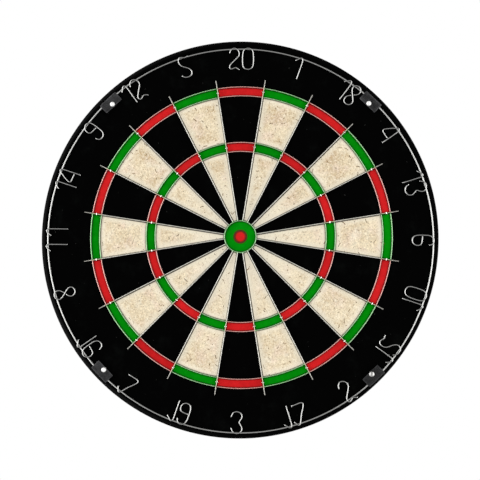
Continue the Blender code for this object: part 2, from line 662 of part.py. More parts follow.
def build_clips():
    """Swivel clips over the number ring, each turning on a domed pin driven into the pad."""
    shank = PIN_SHANK_DIAMETER / 2
    head = PIN_HEAD_DIAMETER / 2
    pin_profile = arc((0, PIN_HEAD_SEAT), head, PIN_HEAD_HEIGHT, 90, 0, EDGE_ARC_STEPS)
    pin_profile += [(shank, PIN_HEAD_SEAT), (shank, FACE - PIN_DEPTH), (0, FACE - PIN_DEPTH)]
    for number, angle in enumerate(CLIP_ANGLES, 1):
        at = on_circle(CLIP_PIN_RADIUS, angle)
        turn = (0, 0, angle - TOP)
        bpy.ops.mesh.primitive_cube_add(size=1)
        clip = bpy.context.object
        clip.name = f"clip_{number}"
        clip.data.transform(Matrix.Diagonal((CLIP_LENGTH, CLIP_WIDTH, CLIP_THICKNESS, 1)))
        middle = (0, CLIP_WIDTH / 2 - CLIP_PIN_EDGE, (CLIP_BACK + CLIP_FRONT) / 2)
        clip.data.transform(Matrix.Translation(middle))
        bevel = clip.modifiers.new("edges", "BEVEL")
        bevel.width = CLIP_BEVEL
        bevel.segments = 1
        place(clip, CLIP_GREY, at, turn, NUMBER_SEAT)
        boss_top = CLIP_BACK + CLIP_THICKNESS / 2
        boss = rod(f"boss_{number}", BOSS_DIAMETER / 2, FACE + SEAT_GAP, boss_top)
        boolean(clip, as_cutter(boss, at, turn, on=NUMBER_SEAT), "UNION")
        radius = shank + BORE_CLEARANCE
        top = CLIP_FRONT + CUTTER_OVERSHOOT
        drill(clip, f"clip_hole_{number}", radius, FACE - CUTTER_OVERSHOOT, top, at, turn, NUMBER_SEAT)
        pin = turned(f"clip_pin_{number}", pin_profile, FASTENER_STEPS)
        place(pin, NICKEL, at, on=NUMBER_SEAT)


def build_hanger():
    """Pan-head screw and washer at the centre of the back, which hook over a wall bracket."""
    shank = HANGER_SHANK_DIAMETER / 2
    washer_back = WASHER_FRONT - WASHER_THICKNESS
    bore = shank + BORE_CLEARANCE
    outer = WASHER_DIAMETER / 2
    section = ((bore, WASHER_FRONT), (outer, WASHER_FRONT), (outer, washer_back), (bore, washer_back))
    place(turned("hanging_washer", section, FOOT_STEPS, closed=True), ZINC)
    tip = STANDOFF + HANGER_DEPTH
    profile = [(0, tip), (shank, tip), (shank, HANGER_HEAD_SEAT)]
    head = HANGER_HEAD_DIAMETER / 2
    profile += arc((0, HANGER_HEAD_SEAT), head, HANGER_HEAD_HEIGHT, 0, -90, EDGE_ARC_STEPS)
    place(turned("hanging_screw", profile, FASTENER_STEPS), ZINC)


def build_feet():
    """Three screwed-on rubber feet that keep the board square to the wall."""
    shank = FOOT_SCREW_SHANK_DIAMETER / 2
    bore = shank + BORE_CLEARANCE
    top = STANDOFF - SEAT_GAP
    section = (
        (bore, top),
        (FOOT_DIAMETER / 2, top),
        (FOOT_BASE_DIAMETER / 2, 0),
        (FOOT_RECESS_DIAMETER / 2, 0),
        (FOOT_RECESS_DIAMETER / 2, FOOT_RECESS_DEPTH),
        (bore, FOOT_RECESS_DEPTH),
    )
    tip = STANDOFF + FOOT_SCREW_DEPTH
    seat = FOOT_RECESS_DEPTH - SEAT_GAP
    head = FOOT_SCREW_HEAD_DIAMETER / 2
    profile = [(0, tip), (shank, tip), (shank, seat)]
    profile += arc((0, seat), head, FOOT_SCREW_HEAD_HEIGHT, 0, -90, EDGE_ARC_STEPS)
    for number, angle in enumerate(FOOT_ANGLES, 1):
        at = on_circle(FOOT_CIRCLE_RADIUS, angle)
        place(turned(f"foot_{number}", section, FOOT_STEPS, closed=True), RUBBER, at)
        place(turned(f"foot_screw_{number}", profile, FASTENER_STEPS), ZINC, at)


build_backing()
build_pad()
build_band()
build_spider()
build_number_ring()
build_clips()
build_hanger()
build_feet()
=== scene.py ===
"""Dresses the packed bristle dartboard: sisal, wires, number ring, clips and back.

Shapes are made in a board frame, with X to the right, Y up the face and Z out of the wall,
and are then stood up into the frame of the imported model.
"""

import logging
import math
from dataclasses import dataclass, field
from enum import Enum
from typing import Any, Callable, Sequence, Union

import bmesh
import bpy
import numpy as np
from mathutils import Matrix, Vector


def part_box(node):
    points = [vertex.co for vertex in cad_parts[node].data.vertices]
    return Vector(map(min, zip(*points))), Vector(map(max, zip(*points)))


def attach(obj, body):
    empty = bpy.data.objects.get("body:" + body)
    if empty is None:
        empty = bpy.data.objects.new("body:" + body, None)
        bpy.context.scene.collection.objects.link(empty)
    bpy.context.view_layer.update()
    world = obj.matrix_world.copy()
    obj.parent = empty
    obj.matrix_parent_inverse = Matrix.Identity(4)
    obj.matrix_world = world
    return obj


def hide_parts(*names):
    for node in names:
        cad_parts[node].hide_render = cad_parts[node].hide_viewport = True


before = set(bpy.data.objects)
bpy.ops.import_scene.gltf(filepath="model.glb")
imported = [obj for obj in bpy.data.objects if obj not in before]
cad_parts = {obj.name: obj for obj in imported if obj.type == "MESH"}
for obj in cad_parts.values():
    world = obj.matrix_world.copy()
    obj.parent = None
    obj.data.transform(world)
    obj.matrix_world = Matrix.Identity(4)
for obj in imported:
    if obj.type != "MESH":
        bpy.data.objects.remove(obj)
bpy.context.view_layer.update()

LOG = logging.getLogger("dartboard")

MM = 0.001
QUARTER_TURN = math.pi / 2
FULL_TURN = 2 * math.pi
UPRIGHT = Matrix.Rotation(QUARTER_TURN, 4, "X")
TINY = 1e-7
SHARP_ANGLE = math.radians(35)

# Values that the points of a mesh carry for its finish
CROWN = "crown"
# Wear and a painted highlight on the clips' edges
WEAR_AND_SHEEN = "wear"

Colour = tuple[float, float, float, float]
Point2 = tuple[float, float]
Point3 = tuple[float, float, float]
Line = list[Point2]
Row = list[bmesh.types.BMVert]
Piece = bpy.types.Object
Value = Union["Term", float]


class Body(Enum):
    """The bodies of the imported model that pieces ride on."""

    BOARD = "board"
    RING = "ring"
    CLIP_1 = "upper_right_clip"
    CLIP_2 = "upper_left_clip"
    CLIP_3 = "lower_left_clip"
    CLIP_4 = "lower_right_clip"


class Slot(Enum):
    """The material slots of the record."""

    SISAL = "sisal"
    CHIPBOARD = "chipboard"
    BAND = "band"
    WIRE = "wire"
    BULL_STEEL = "bull_steel"
    CLIP = "clip_plastic"
    NICKEL = "nickel"
    ZINC = "zinc"
    RUBBER = "rubber"


def srgb(red: float, green: float, blue: float) -> Colour:
    """A colour as a screen shows it, turned to linear light.

    Args:
        red: The red channel, 0 to 255.
        green: The green channel.
        blue: The blue channel.

    Returns:
        The linear colour with full alpha.
    """
    shares = [value / 255 for value in (red, green, blue)]
    linear = [s / 12.92 if s <= 0.04045 else ((s + 0.055) / 1.055) ** 2.4 for s in shares]
    return (linear[0], linear[1], linear[2], 1.0)


def operator(operation: str, reflected: bool = False) -> Callable[["Term", Value], "Term"]:
    """An operator that adds a Math node.

    Args:
        operation: What the node does.
        reflected: Whether the other value comes first.

    Returns:
        The method for the class.
    """

    def apply(term: "Term", other: Value) -> "Term":
        """Adds the node."""
        return term.tree.math(operation, *((other, term) if reflected else (term, other)))

    return apply


class Term:
    """A node's output that Python's operators turn into Math nodes."""

    __add__ = __radd__ = operator("ADD")
    __sub__ = operator("SUBTRACT")
    __rsub__ = operator("SUBTRACT", reflected=True)
    __mul__ = __rmul__ = operator("MULTIPLY")
    __truediv__ = operator("DIVIDE")
    __rtruediv__ = operator("DIVIDE", reflected=True)
    __mod__ = operator("FLOORED_MODULO")
    __gt__ = operator("GREATER_THAN")
    __lt__ = operator("LESS_THAN")

    def __init__(self, tree: "Tree", socket: bpy.types.NodeSocket) -> None:
        """Wraps one output socket of a tree."""
        self.tree = tree
        self.socket = socket

    def __abs__(self) -> "Term":
        """Size without sign."""
        return self.math("ABSOLUTE")

    def other(self, output: str | int) -> "Term":
        """Another output of the same node."""
        return Term(self.tree, self.socket.node.outputs[output])

    def math(self, operation: str, *others: Value) -> "Term":
        """A Math node on this value and others."""
        return self.tree.math(operation, self, *others)

    def rise(self, low: float, high: float) -> "Term":
        """A smooth step from nought at low to one at high."""
        sockets = {"Value": self, "From Min": low, "From Max": high}
        return self.tree.add("ShaderNodeMapRange", {"interpolation_type": "SMOOTHSTEP"}, sockets)


class Tree:
    """A node tree that is written as expressions."""

    def __init__(self, data: bpy.types.NodeTree) -> None:
        """Wraps a Blender node tree."""
        self.data = data

    def add(
        self,
        kind: str,
        settings: dict[str, Any] | None = None,
        inputs: dict[str | int, Any] | None = None,
        output: str | int = 0,
    ) -> Term | None:
        """Adds a node.

        Args:
            kind: The node's type.
            settings: The node's own settings, which are set first.
            inputs: Values or terms for its sockets, by name or number.
            output: The output that the returned term stands for.

        Returns:
            The output, or nothing where the node has none.
        """
        node = self.data.nodes.new(kind)
        for name, value in (settings or {}).items():
            setattr(node, name, value)
        for name, value in (inputs or {}).items():
            if isinstance(value, Term):
                self.data.links.new(value.socket, node.inputs[name])
            else:
                node.inputs[name].default_value = value
        return Term(self, node.outputs[output]) if len(node.outputs) else None

    def math(self, operation: str, *values: Value) -> Term:
        """A Math node on values and terms."""
        return self.add("ShaderNodeMath", {"operation": operation}, dict(enumerate(values)))

    def vector(self, x: Value, y: Value, z: Value) -> Term:
        """Three values as a vector."""
        return self.add("ShaderNodeCombineXYZ", {}, {0: x, 1: y, 2: z})

    def axes(self, vector: Term) -> tuple[Term, Term, Term]:
        """The three values of a vector."""
        x = self.add("ShaderNodeSeparateXYZ", {}, {0: vector})
        return x, x.other("Y"), x.other("Z")

    def length(self, vector: Term) -> Term:
        """The length of a vector."""
        return self.add("ShaderNodeVectorMath", {"operation": "LENGTH"}, {0: vector}, "Value")

    def mix(self, share: Value, first: Any, second: Any, blend: str = "MIX") -> Term:
        """Two colours mixed by a share."""
        settings = {"data_type": "RGBA", "blend_type": blend}
        return self.add("ShaderNodeMix", settings, {0: share, 6: first, 7: second}, 2)

    def shade(self, colour: Any, level: Term) -> Term:
        """A colour made lighter or darker by a value."""
        return self.mix(1.0, colour, level, "MULTIPLY")

    def place(self) -> Term:
        """The point of the surface, in the frame of the object, or the direction in a world."""
        return self.add("ShaderNodeTexCoord", {}, {}, "Object")

    def attribute(self, name: str) -> Term:
        """A value that the points of the mesh carry."""
        return self.add("ShaderNodeAttribute", {"attribute_name": name}, {}, "Fac")

    def noise(self, at: Term, size: float, detail: float = 2.0, roughness: float = 0.5) -> Term:
        """Soft noise with features of a size, about 0.5."""
        sockets = {"Vector": at, "Scale": 1 / size, "Detail": detail, "Roughness": roughness}
        return self.add("ShaderNodeTexNoise", {}, sockets)

    def cells(self, at: Term, size: float, feature: str = "F1") -> Term:
        """Cells of a size; the other outputs hold each cell's own colour."""
        return self.add("ShaderNodeTexVoronoi", {"feature": feature}, {"Vector": at, "Scale": 1 / size})

    def warped(self, at: Term, size: float, reach: float, detail: float) -> Term:
        """A point pushed about by noise of a size, as far as a reach."""
        sockets = {0: self.noise(at, size, detail).other("Color"), 1: (reach,) * 3, 2: at}
        return self.add("ShaderNodeVectorMath", {"operation": "MULTIPLY_ADD"}, sockets)

    def drawn_out(self, at: Term, scale: Point3) -> Term:
        """A point scaled, so that a pattern on it is drawn out where the scale is small."""
        return self.add("ShaderNodeMapping", {}, {"Vector": at, "Scale": scale})

    def bump(self, height: Term, distance: float, strength: float) -> Term:
        """A surface normal tipped by a height."""
        sockets = {"Strength": strength, "Distance": distance, "Height": height}
        return self.add("ShaderNodeBump", {}, sockets)


class GeometryTree(Tree):
    """A Geometry Nodes tree with named inputs, which ends in plain geometry with a material."""

    def __init__(self, name: str) -> None:
        """Starts an empty tree.

        Args:
            name: The tree's name.
        """
        super().__init__(bpy.data.node_groups.new(name, "GeometryNodeTree"))
        for way in ("INPUT", "OUTPUT"):
            self.data.interface.new_socket("Geometry", in_out=way, socket_type="NodeSocketGeometry")
        self.source = self.data.nodes.new("NodeGroupInput")

    def input(self, name: str, kind: str = "Float") -> Term:
        """Adds a named input."""
        self.data.interface.new_socket(name, in_out="INPUT", socket_type=f"NodeSocket{kind}")
        return Term(self, self.source.outputs[name])

    def given(self) -> Term:
        """The geometry that the tree is run on."""
        return Term(self, self.source.outputs["Geometry"])

    def pattern(self) -> Term:
        """The geometry of the object that is repeated."""
        return self.add("GeometryNodeObjectInfo", {}, {0: self.input("Pattern", "Object")}, "Geometry")

    def random(self, low: float, high: float, seed: int) -> Term:
        """A random value for each element, the same in every run."""
        return self.add("FunctionNodeRandomValue", {"data_type": "FLOAT"}, {2: low, 3: high, 8: seed}, 1)

    def circle(self, radius: Term, steps: int) -> Term:
        """A circle as a curve."""
        sockets = {"Resolution": steps, "Radius": radius}
        return self.add("GeometryNodeCurvePrimitiveCircle", {"mode": "RADIUS"}, sockets)

    def wire(self, path: Term, diameter: Term, sides: int, caps: bool) -> Term:
        """A round wire along a curve at height nought.

        Args:
            path: The curve.
            diameter: The diameter of the wire.
            sides: How many sides its section has.
            caps: Whether its ends are closed.

        Returns:
            The wire, each point with its share of the way up to the crown.
        """
        section = self.circle(diameter * 0.5, sides)
        sockets = {0: path, "Profile Curve": section, "Fill Caps": caps}
        body = self.add("GeometryNodeCurveToMesh", {}, sockets)
        height = self.axes(self.add("GeometryNodeInputPosition"))[2]
        sockets = {"Geometry": body, "Name": CROWN, "Value": height * 2.0 / diameter}
        settings = {"data_type": "FLOAT", "domain": "POINT"}
        return self.add("GeometryNodeStoreNamedAttribute", settings, sockets)

    def repeat(
        self, points: Term, shape: Term, turn: Term, scale: Term | Point3 = (1, 1, 1)
    ) -> "GeometryTree":
        """Ends the tree with a shape at each of some points.

        Args:
            points: The points.
            shape: The shape.
            turn: How far each copy is turned about Z.
            scale: The scale of each copy.

        Returns:
            The tree.
        """
        sockets = {"Points": points, "Instance": shape, "Scale": scale}
        sockets["Rotation"] = self.vector(0.0, 0.0, turn)
        return self.close(self.add("GeometryNodeInstanceOnPoints", {}, sockets))

    def close(self, geometry: Term) -> "GeometryTree":
        """Ends the tree: instances made real, and the finish set.

        Args:
            geometry: What the tree has made.

        Returns:
            The tree.
        """
        real = self.add("GeometryNodeRealizeInstances", {}, {"Geometry": geometry})
        sockets = {"Geometry": real, "Material": self.input("Finish", "Material")}
        self.add("NodeGroupOutput", {}, {0: self.add("GeometryNodeSetMaterial", {}, sockets)})
        return self

    def run(
        self, name: str, finish: "Finish", values: dict[str, Any], on: bpy.types.Mesh | None = None
    ) -> Piece:
        """Runs the tree once and keeps the result as a plain mesh.

        Args:
            name: The name of the object.
            finish: The finish of what is made.
            values: The values of the other named inputs.
            on: The mesh that the tree works on, if any.

        Returns:
            An object with no modifiers, in the board frame.
        """
        made = link(name, on or bpy.data.meshes.new(name))
        modifier = made.modifiers.new(name, "NODES")
        modifier.node_group = self.data
        values = values | {"Finish": finish.material()}
        for item in self.data.interface.items_tree:
            if item.in_out == "INPUT" and item.name in values:
                modifier[item.identifier] = values[item.name]
        return settle(made)


def link(name: str, data: bpy.types.ID) -> Piece:
    """A new object in the scene.

    Args:
        name: The name of the object.
        data: Its mesh, camera or light.

    Returns:
        The object.
    """
    made = bpy.data.objects.new(name, data)
    bpy.context.scene.collection.objects.link(made)
    return made


def settle(piece: Piece) -> Piece:
    """Keeps what an object's modifiers make as its plain mesh.

    Args:
        piece: The object.

    Returns:
        The same object, with no modifiers.
    """
    graph = bpy.context.evaluated_depsgraph_get()
    mesh = bpy.data.meshes.new_from_object(piece.evaluated_get(graph))
    piece.modifiers.clear()
    piece.data = mesh
    return piece


def depth(node: str) -> Point2:
    """How far a node's back and front are from the wall."""
    low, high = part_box(node)
    return -high.y, -low.y


def middle(node: str) -> Point3:
    """The middle of a node, in the board frame."""
    centre = sum(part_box(node), Vector()) / 2
    return (centre.x, centre.z, -centre.y)


def reach(node: str) -> float:
    """How far a node reaches to each side of its own middle."""
    low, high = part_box(node)
    return (high.x - low.x) / 2


def ring_circle() -> tuple[Point2, float]:
    """The circle of the number ring's wire, fitted to its rearmost points.

    Returns:
        The centre, in the board frame, and the radius.
    """
    points = np.array([vertex.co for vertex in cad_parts["number_ring"].data.vertices])
    rear = points[points[:, 1] > points[:, 1].max() - 0.1 * MM][:, [0, 2]]
    system = np.column_stack([2 * rear, np.ones(len(rear))])
    x, y, rest = np.linalg.lstsq(system, (rear**2).sum(axis=1), rcond=None)[0]
    return (float(x), float(y)), math.sqrt(rest + x * x + y * y)


@dataclass(frozen=True)
class Finish:
    """A surface finish. Each kind paints its own colour and relief."""

    name: str
    colour: Colour
    roughness: float
    metallic: float = 0.0
    specular: float = 0.5

    def material(self) -> bpy.types.Material:
        """Builds the finish, or finds it if it was built before.

        Returns:
            The material.
        """
        found = bpy.data.materials.get(self.name)
        if found:
            return found
        made = bpy.data.materials.new(self.name)
        made.use_nodes = True
        shader = made.node_tree.nodes["Principled BSDF"]
        shader.inputs["Base Color"].default_value = self.colour
        shader.inputs["Roughness"].default_value = self.roughness
        shader.inputs["Metallic"].default_value = self.metallic
        shader.inputs["Specular IOR Level"].default_value = self.specular
        tree = Tree(made.node_tree)
        for socket, term in self.paint(tree, tree.place()).items():
            made.node_tree.links.new(term.socket, shader.inputs[socket])
        return made

    def paint(self, tree: Tree, at: Term) -> dict[str, Term]:
        """Adds what varies over the surface. Each kind of finish has its own.

        Args:
            tree: The material's tree.
            at: The point of the surface.

        Returns:
            Terms by shader socket.
        """
        raise NotImplementedError


@dataclass(frozen=True)
class Beds:
    """Where the dyed beds of the face end: radii to the middle of each wire, and a clockwise twist."""

    centre: Point2
    bull: float
    outer_bull: float
    treble_inner: float
    treble_outer: float
    double_inner: float
    double_outer: float
    spoke_end: float
    rim: float
    sectors: int = 20
    twist: float = math.radians(0.15)

    @staticmethod
    def from_frame(wire: float, band: float) -> "Beds":
        """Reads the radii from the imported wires.

        Args:
            wire: The diameter of the scoring wires.
            band: The thickness of the bull's band.

        Returns:
            The radii.
        """
        names = ("treble_inner", "treble_outer", "double_inner", "double_outer")
        outer_bull = reach("wire_bull") - wire / 2
        return Beds(
            centre=middle("wire_bull")[:2],
            bull=reach("bull_band") - band / 2,
            outer_bull=outer_bull,
            spoke_end=outer_bull + 2 * reach("radial_wire_05"),
            rim=reach("sisal_pad"),
            **{name: reach(f"wire_{name}") - wire / 2 for name in names},
        )

    def polar(self, tree: Tree, at: Term) -> tuple[Term, Term, Term]:
        """A point of the face as seen from the bull.

        Args:
            tree: The tree to add to.
            at: The point.

        Returns:
            How far it is to the right, how far up, and its distance.
        """
        x, _, z = tree.axes(at)
        across, up = x - self.centre[0], z - self.centre[1]
        return across, up, tree.length(tree.vector(across, up, 0.0))

    def step(self, angle: Term) -> Term:
        """The place round the face in sectors, from an angle clockwise from the top."""
        return (angle - self.twist) * (self.sectors / FULL_TURN) + 0.5

    def lay(self, tree: Tree, radius: Term, step: Term, dyes: Sequence[Any]) -> Term:
        """The colour of the bed that a point lies in.

        Args:
            tree: The tree to add to.
            radius: The distance from the middle of the bull.
            step: The place round the face, in sectors.
            dyes: Black, cream, red and green.

        Returns:
            The colour.
        """
        black, cream, red, green = dyes
        pale_sector = (step % 2.0) > 1.0
        dyed = tree.mix(pale_sector, red, green)
        plain = tree.mix(pale_sector, black, cream)
        treble = (radius > self.treble_inner) * (radius < self.treble_outer)
        colour = tree.mix(treble + (radius > self.double_inner), plain, dyed)
        colour = tree.mix(radius > self.double_outer, colour, black)
        colour = tree.mix(radius < self.outer_bull, colour, green)
        return tree.mix(radius < self.bull, colour, red)


@dataclass(frozen=True)
class Sisal(Finish):
    """End-grain sisal, dyed in beds, with fibre ends and dart wear, a rusty ring with painted shade round
    the bull, grime and painted shade beside the wires, and a dusty rounded edge with a painted sheen that
    is stronger on the left.
    """

    beds: Beds | None = None
    cream: Colour = srgb(248, 233, 202)
    cream_pink: Colour = srgb(246, 226, 204)
    cream_pale: Colour = srgb(254, 245, 222)
    tan: Colour = srgb(200, 174, 134)
    speck: Colour = srgb(150, 118, 80)
    red: Colour = srgb(210, 34, 36)
    green: Colour = srgb(4, 136, 12)
    rust: Colour = srgb(96, 52, 28)
    cloud: Colour = srgb(15, 17, 16)
    # The dusty grey of the rounded edge, which also stands for a painted sheen
    dust: Colour = srgb(30, 30, 30)

    # Sizes of what shows in the fibres
    grain: float = 0.9 * MM
    coarse_grain: float = 1.8 * MM
    fibre_end: float = 0.55 * MM
    relief: float = 0.18 * MM
    pink_patch: float = 17 * MM
    pale_patch: float = 11 * MM
    scuff_patch: float = 21 * MM
    swirl: float = 13 * MM
    swirl_reach: float = 9 * MM
    clump: float = 2.6 * MM
    stroke: float = 1.15 * MM
    stroke_scale: Point3 = (1.0, 1.0, 0.30)
    speck_size: float = 1.3 * MM
    cloud_patch: float = 24 * MM
    dye_patch: float = 5 * MM
    dye_batch: float = 60 * MM

    # Where the face is worn, unmarked or dirty, and where painted light and painted shade fall on it
    landing_from_wire: Point2 = (2 * MM, 9 * MM)
    landing_height: Point2 = (-60 * MM, 100 * MM)
    clean_radius: Point2 = (18 * MM, 100 * MM)
    bleed: float = 0.7 * MM
    bleed_grain: float = 1.3 * MM
    edge: float = 5 * MM
    wire_half: float = 0.8 * MM
    seam: float = 1.2 * MM
    # How dark the grime and painted shade beside the rings and the spokes are
    ring_dirt: float = 0.6
    spoke_dirt: float = 0.95
    rust_width: float = 1.5 * MM

    def from_wires(self, radius: Term, step: Term) -> tuple[Term, Term]:
        """How far a point of the face is from the wires.

        Args:
            radius: The distance from the middle of the bull.
            step: The place round the face, in sectors.

        Returns:
            The distances from the middle of the nearest ring and of the nearest spoke.
        """
        beds = self.beds
        near = abs(radius - beds.outer_bull)
        for ring in (beds.treble_inner, beds.treble_outer, beds.double_inner, beds.double_outer):
            near = near.math("MINIMUM", abs(radius - ring))
        beside = (0.5 - abs(step % 1.0 - 0.5)) * radius * (FULL_TURN / beds.sectors)
        no_spoke = (radius < beds.outer_bull) + (radius > beds.spoke_end)
        return near, beside + no_spoke

    def cream_bed(self, tree: Tree, at: Term, radius: Term, near: Term, up: Term, fine: Term) -> Term:
        """The undyed sisal: tinted bundles, worn and scuffed where the darts land, and paler beside the
        wires and near the bull, partly as cleaner sisal and partly as painted light against the wires'
        shade.

        Args:
            tree: The tree to add to.
            at: The point.
            radius: The distance from the middle of the bull.
            near: The distance from the nearest wire.
            up: The height above the bull.
            fine: Fine noise.

        Returns:
            The colour.
        """
        pink = tree.noise(at, self.pink_patch).rise(0.46, 0.70)
        pale = tree.noise(at, self.pale_patch).rise(0.50, 0.72)
        colour = tree.mix(pink * 0.8, self.cream, self.cream_pink)
        colour = tree.mix(pale * 0.6, colour, self.cream_pale)
        used = near.rise(*self.landing_from_wire)
        grain = (tree.noise(at, self.coarse_grain, 2.0, 0.7) - 0.5) * (0.5 + 0.6 * used)
        colour = tree.shade(colour, 0.96 + 0.14 * (fine - 0.5) + grain)
        # Paler beside the wires and near the bull: partly cleaner sisal, partly painted light that
        # offsets the wires' shade
        inner = 1.0 - radius.rise(*self.clean_radius)
        clean_and_lit = (1.0 - used).math("MAXIMUM", inner)
        colour = tree.mix(clean_and_lit * (0.8 + 0.2 * inner), colour, self.cream_pale)
        landed = used * (0.55 + 0.45 * up.rise(*self.landing_height))
        scuffed = landed * (0.15 + 0.85 * tree.noise(at, self.scuff_patch, 3.0, 0.6).rise(0.38, 0.64))
        swirl = tree.warped(at, self.swirl, self.swirl_reach, 1.0)
        clumps = tree.noise(swirl, self.clump, 3.0, 0.72).rise(0.38, 0.66)
        bared = 0.16 * clumps * (1.0 - inner) + scuffed * (0.16 + 0.62 * clumps)
        colour = tree.mix(bared, colour, self.tan)
        drawn = tree.drawn_out(swirl, self.stroke_scale)
        strokes = tree.noise(drawn, self.stroke, 2.0, 0.6).rise(0.60, 0.72)
        colour = tree.mix(strokes * (0.22 + 0.6 * scuffed), colour, self.speck)
        specks = tree.noise(at, self.speck_size, 1.0).rise(0.64, 0.70)
        return tree.mix(specks * (0.25 + 0.55 * used), colour, self.speck)

    def paint(self, tree: Tree, at: Term) -> dict[str, Term]:
        """Adds the dyed beds, their wear, the grime and painted shade along the wires, and the painted
        sheen on the dusty edge.

        Args:
            tree: The material's tree.
            at: The point of the surface.

        Returns:
            Terms by shader socket.
        """
        beds = self.beds
        x, _, z = tree.axes(at)
        from_middle = tree.length(tree.vector(x, z, 0.0))
        across, up, radius = beds.polar(tree, at)
        fine = tree.noise(at, self.grain, 3.0, 0.6)
        ragged = (tree.noise(at, self.bleed_grain, 1.0) - 0.5) * self.bleed
        at_ring = radius + ragged
        drift = ragged / radius.math("MAXIMUM", beds.outer_bull)
        step = beds.step(across.math("ARCTAN2", up) + drift)
        by_ring, by_spoke = self.from_wires(radius, step)
        near = by_ring.math("MINIMUM", by_spoke)

        cream = self.cream_bed(tree, at, radius, near, up, fine)
        patchy = tree.noise(at, self.cloud_patch, 4.0, 0.65).rise(0.50, 0.78) * (0.4 + fine)
        black = tree.mix(patchy * 0.5, self.colour, self.cloud)
        lively = 0.36 + 0.26 * fine + 0.5 * tree.noise(at, self.dye_patch, 3.0, 0.6)
        lively = lively + 0.52 * tree.noise(at, self.dye_batch, 1.0)
        red, green = tree.shade(self.red, lively), tree.shade(self.green, lively)

        colour = beds.lay(tree, at_ring, step, (black, cream, red, green))
        # A rusty ring with painted shade on both sides of the bull's band
        outside = (at_ring - beds.bull).rise(0.5 * self.rust_width, self.rust_width)
        inside = (beds.bull - at_ring).rise(0.2 * self.rust_width, 2 * self.rust_width)
        colour = tree.mix((1.0 - outside) * (1.0 - inside) * 0.85, colour, self.rust)
        # Grime and painted shade: the sisal is darkened in a line beside each ring and each spoke
        for distance, dirt_and_shade in ((by_ring, self.ring_dirt), (by_spoke, self.spoke_dirt)):
            clean_and_lit = (distance + ragged).rise(self.wire_half, self.wire_half + self.seam)
            colour = tree.shade(colour, (1.0 - dirt_and_shade) + dirt_and_shade * clean_and_lit)
        # The rounded edge is dusty and carries a painted sheen, painted stronger on the left as if lit
        # from that side
        worn = from_middle.rise(beds.rim - self.edge, beds.rim - 0.3 * self.edge)
        lit_from_left = 0.08 + 0.92 * (0.0 - x).rise(-0.1 * beds.rim, beds.rim)
        return {
            "Base Color": tree.mix(worn * lit_from_left * (0.3 + 0.9 * fine), colour, self.dust),
            "Roughness": 0.84 + 0.14 * fine,
            "Normal": tree.bump(fine * 0.6 + tree.cells(at, self.fibre_end) * 0.5, self.relief, 0.5),
        }


@dataclass(frozen=True)
class Steel(Finish):
    """Drawn or plated steel, with duller patches and a fine grain."""

    patch: float = 7 * MM
    grain: float = 0.35 * MM
    relief: float = 0.02 * MM
    vary: float = 0.16
    dull: float = 0.14

    def paint(self, tree: Tree, at: Term) -> dict[str, Term]:
        """Adds the patches and the grain.

        Args:
            tree: The material's tree.
            at: The point of the surface.

        Returns:
            Terms by shader socket.
        """
        patches = tree.noise(at, self.patch, 3.0, 0.6)
        fine = tree.noise(at, self.grain)
        return {
            "Base Color": tree.shade(self.colour, (1 - self.vary) + self.vary * (patches + fine)),
            "Roughness": self.roughness - self.dull / 2 + self.dull * patches,
            "Normal": tree.bump(fine, self.relief, 0.4),
        }


@dataclass(frozen=True)
class RoundedSteel(Steel):
    """Round wire or domes, bright on the crown and painted darker down the flanks as painted shade."""

    flank: float = 0.05
    flank_end: float = 0.80
    crown_start: float = 0.96

    def polished(self, tree: Tree) -> Term:
        """One on the crown, nought down the flanks."""
        return tree.attribute(CROWN).rise(self.flank_end, self.crown_start)

    def paint(self, tree: Tree, at: Term) -> dict[str, Term]:
        """Darkens the flanks of the steel as painted shade.

        Args:
            tree: The material's tree.
            at: The point of the surface.

        Returns:
            Terms by shader socket.
        """
        terms = super().paint(tree, at)
        # Painted shade: the flanks are darkened
        worn = self.flank + (1 - self.flank) * self.polished(tree)
        return terms | {"Base Color": tree.shade(terms["Base Color"], worn)}


@dataclass(frozen=True)
class SpiderSteel(RoundedSteel):
    """The scoring wires: the beds' colours painted on their flanks as painted reflection and shade, a
    tint on the crown and dull ends past the double.
    """

    beds: Beds | None = None
    # The beds' colours, darkened, that the flanks show as painted reflection and shade: black, cream, red
    # and green
    dyes: tuple[Colour, ...] = (srgb(5, 5, 5), srgb(62, 54, 44), srgb(92, 12, 14), srgb(4, 62, 7))
    stains: tuple[Colour, Colour] = (srgb(255, 150, 140), srgb(130, 235, 130))
    stain: float = 0.62
    stain_reach: float = 1 * MM
    tail: float = 0.6
    tail_from: Point2 = (1 * MM, 4 * MM)

    def paint(self, tree: Tree, at: Term) -> dict[str, Term]:
        """Adds the painted reflection of the beds on the flanks, the pink or green tint on the crown and
        the dull ends.

        Args:
            tree: The material's tree.
            at: The point of the surface.

        Returns:
            Terms by shader socket.
        """
        terms = Steel.paint(self, tree, at)
        beds = self.beds
        across, up, radius = beds.polar(tree, at)
        step = beds.step(across.math("ARCTAN2", up))
        bed = beds.lay(tree, radius, step, self.dyes)
        # The crown is tinted pink by the red beds, and green by the green beds and the bull
        bull = radius < beds.outer_bull + self.stain_reach
        stain = tree.mix((step % 2.0) > 1.0, *self.stains)
        stain = tree.mix(bull, stain, self.stains[1])
        beside = bull
        for low, high in ((beds.treble_inner, beds.treble_outer), (beds.double_inner, beds.double_outer)):
            beside = beside + (radius > low - self.stain_reach) * (radius < high + self.stain_reach)
        steel = tree.mix(beside * self.stain, terms["Base Color"], stain)
        beyond = radius.rise(*(beds.double_outer + way for way in self.tail_from))
        steel = tree.shade(steel, 1.0 - (1 - self.tail) * beyond)
        # The flanks show the bed beside them as painted reflection and shade, not as metal
        polished = self.polished(tree)
        return terms | {"Base Color": tree.mix(polished, bed, steel), "Metallic": polished}


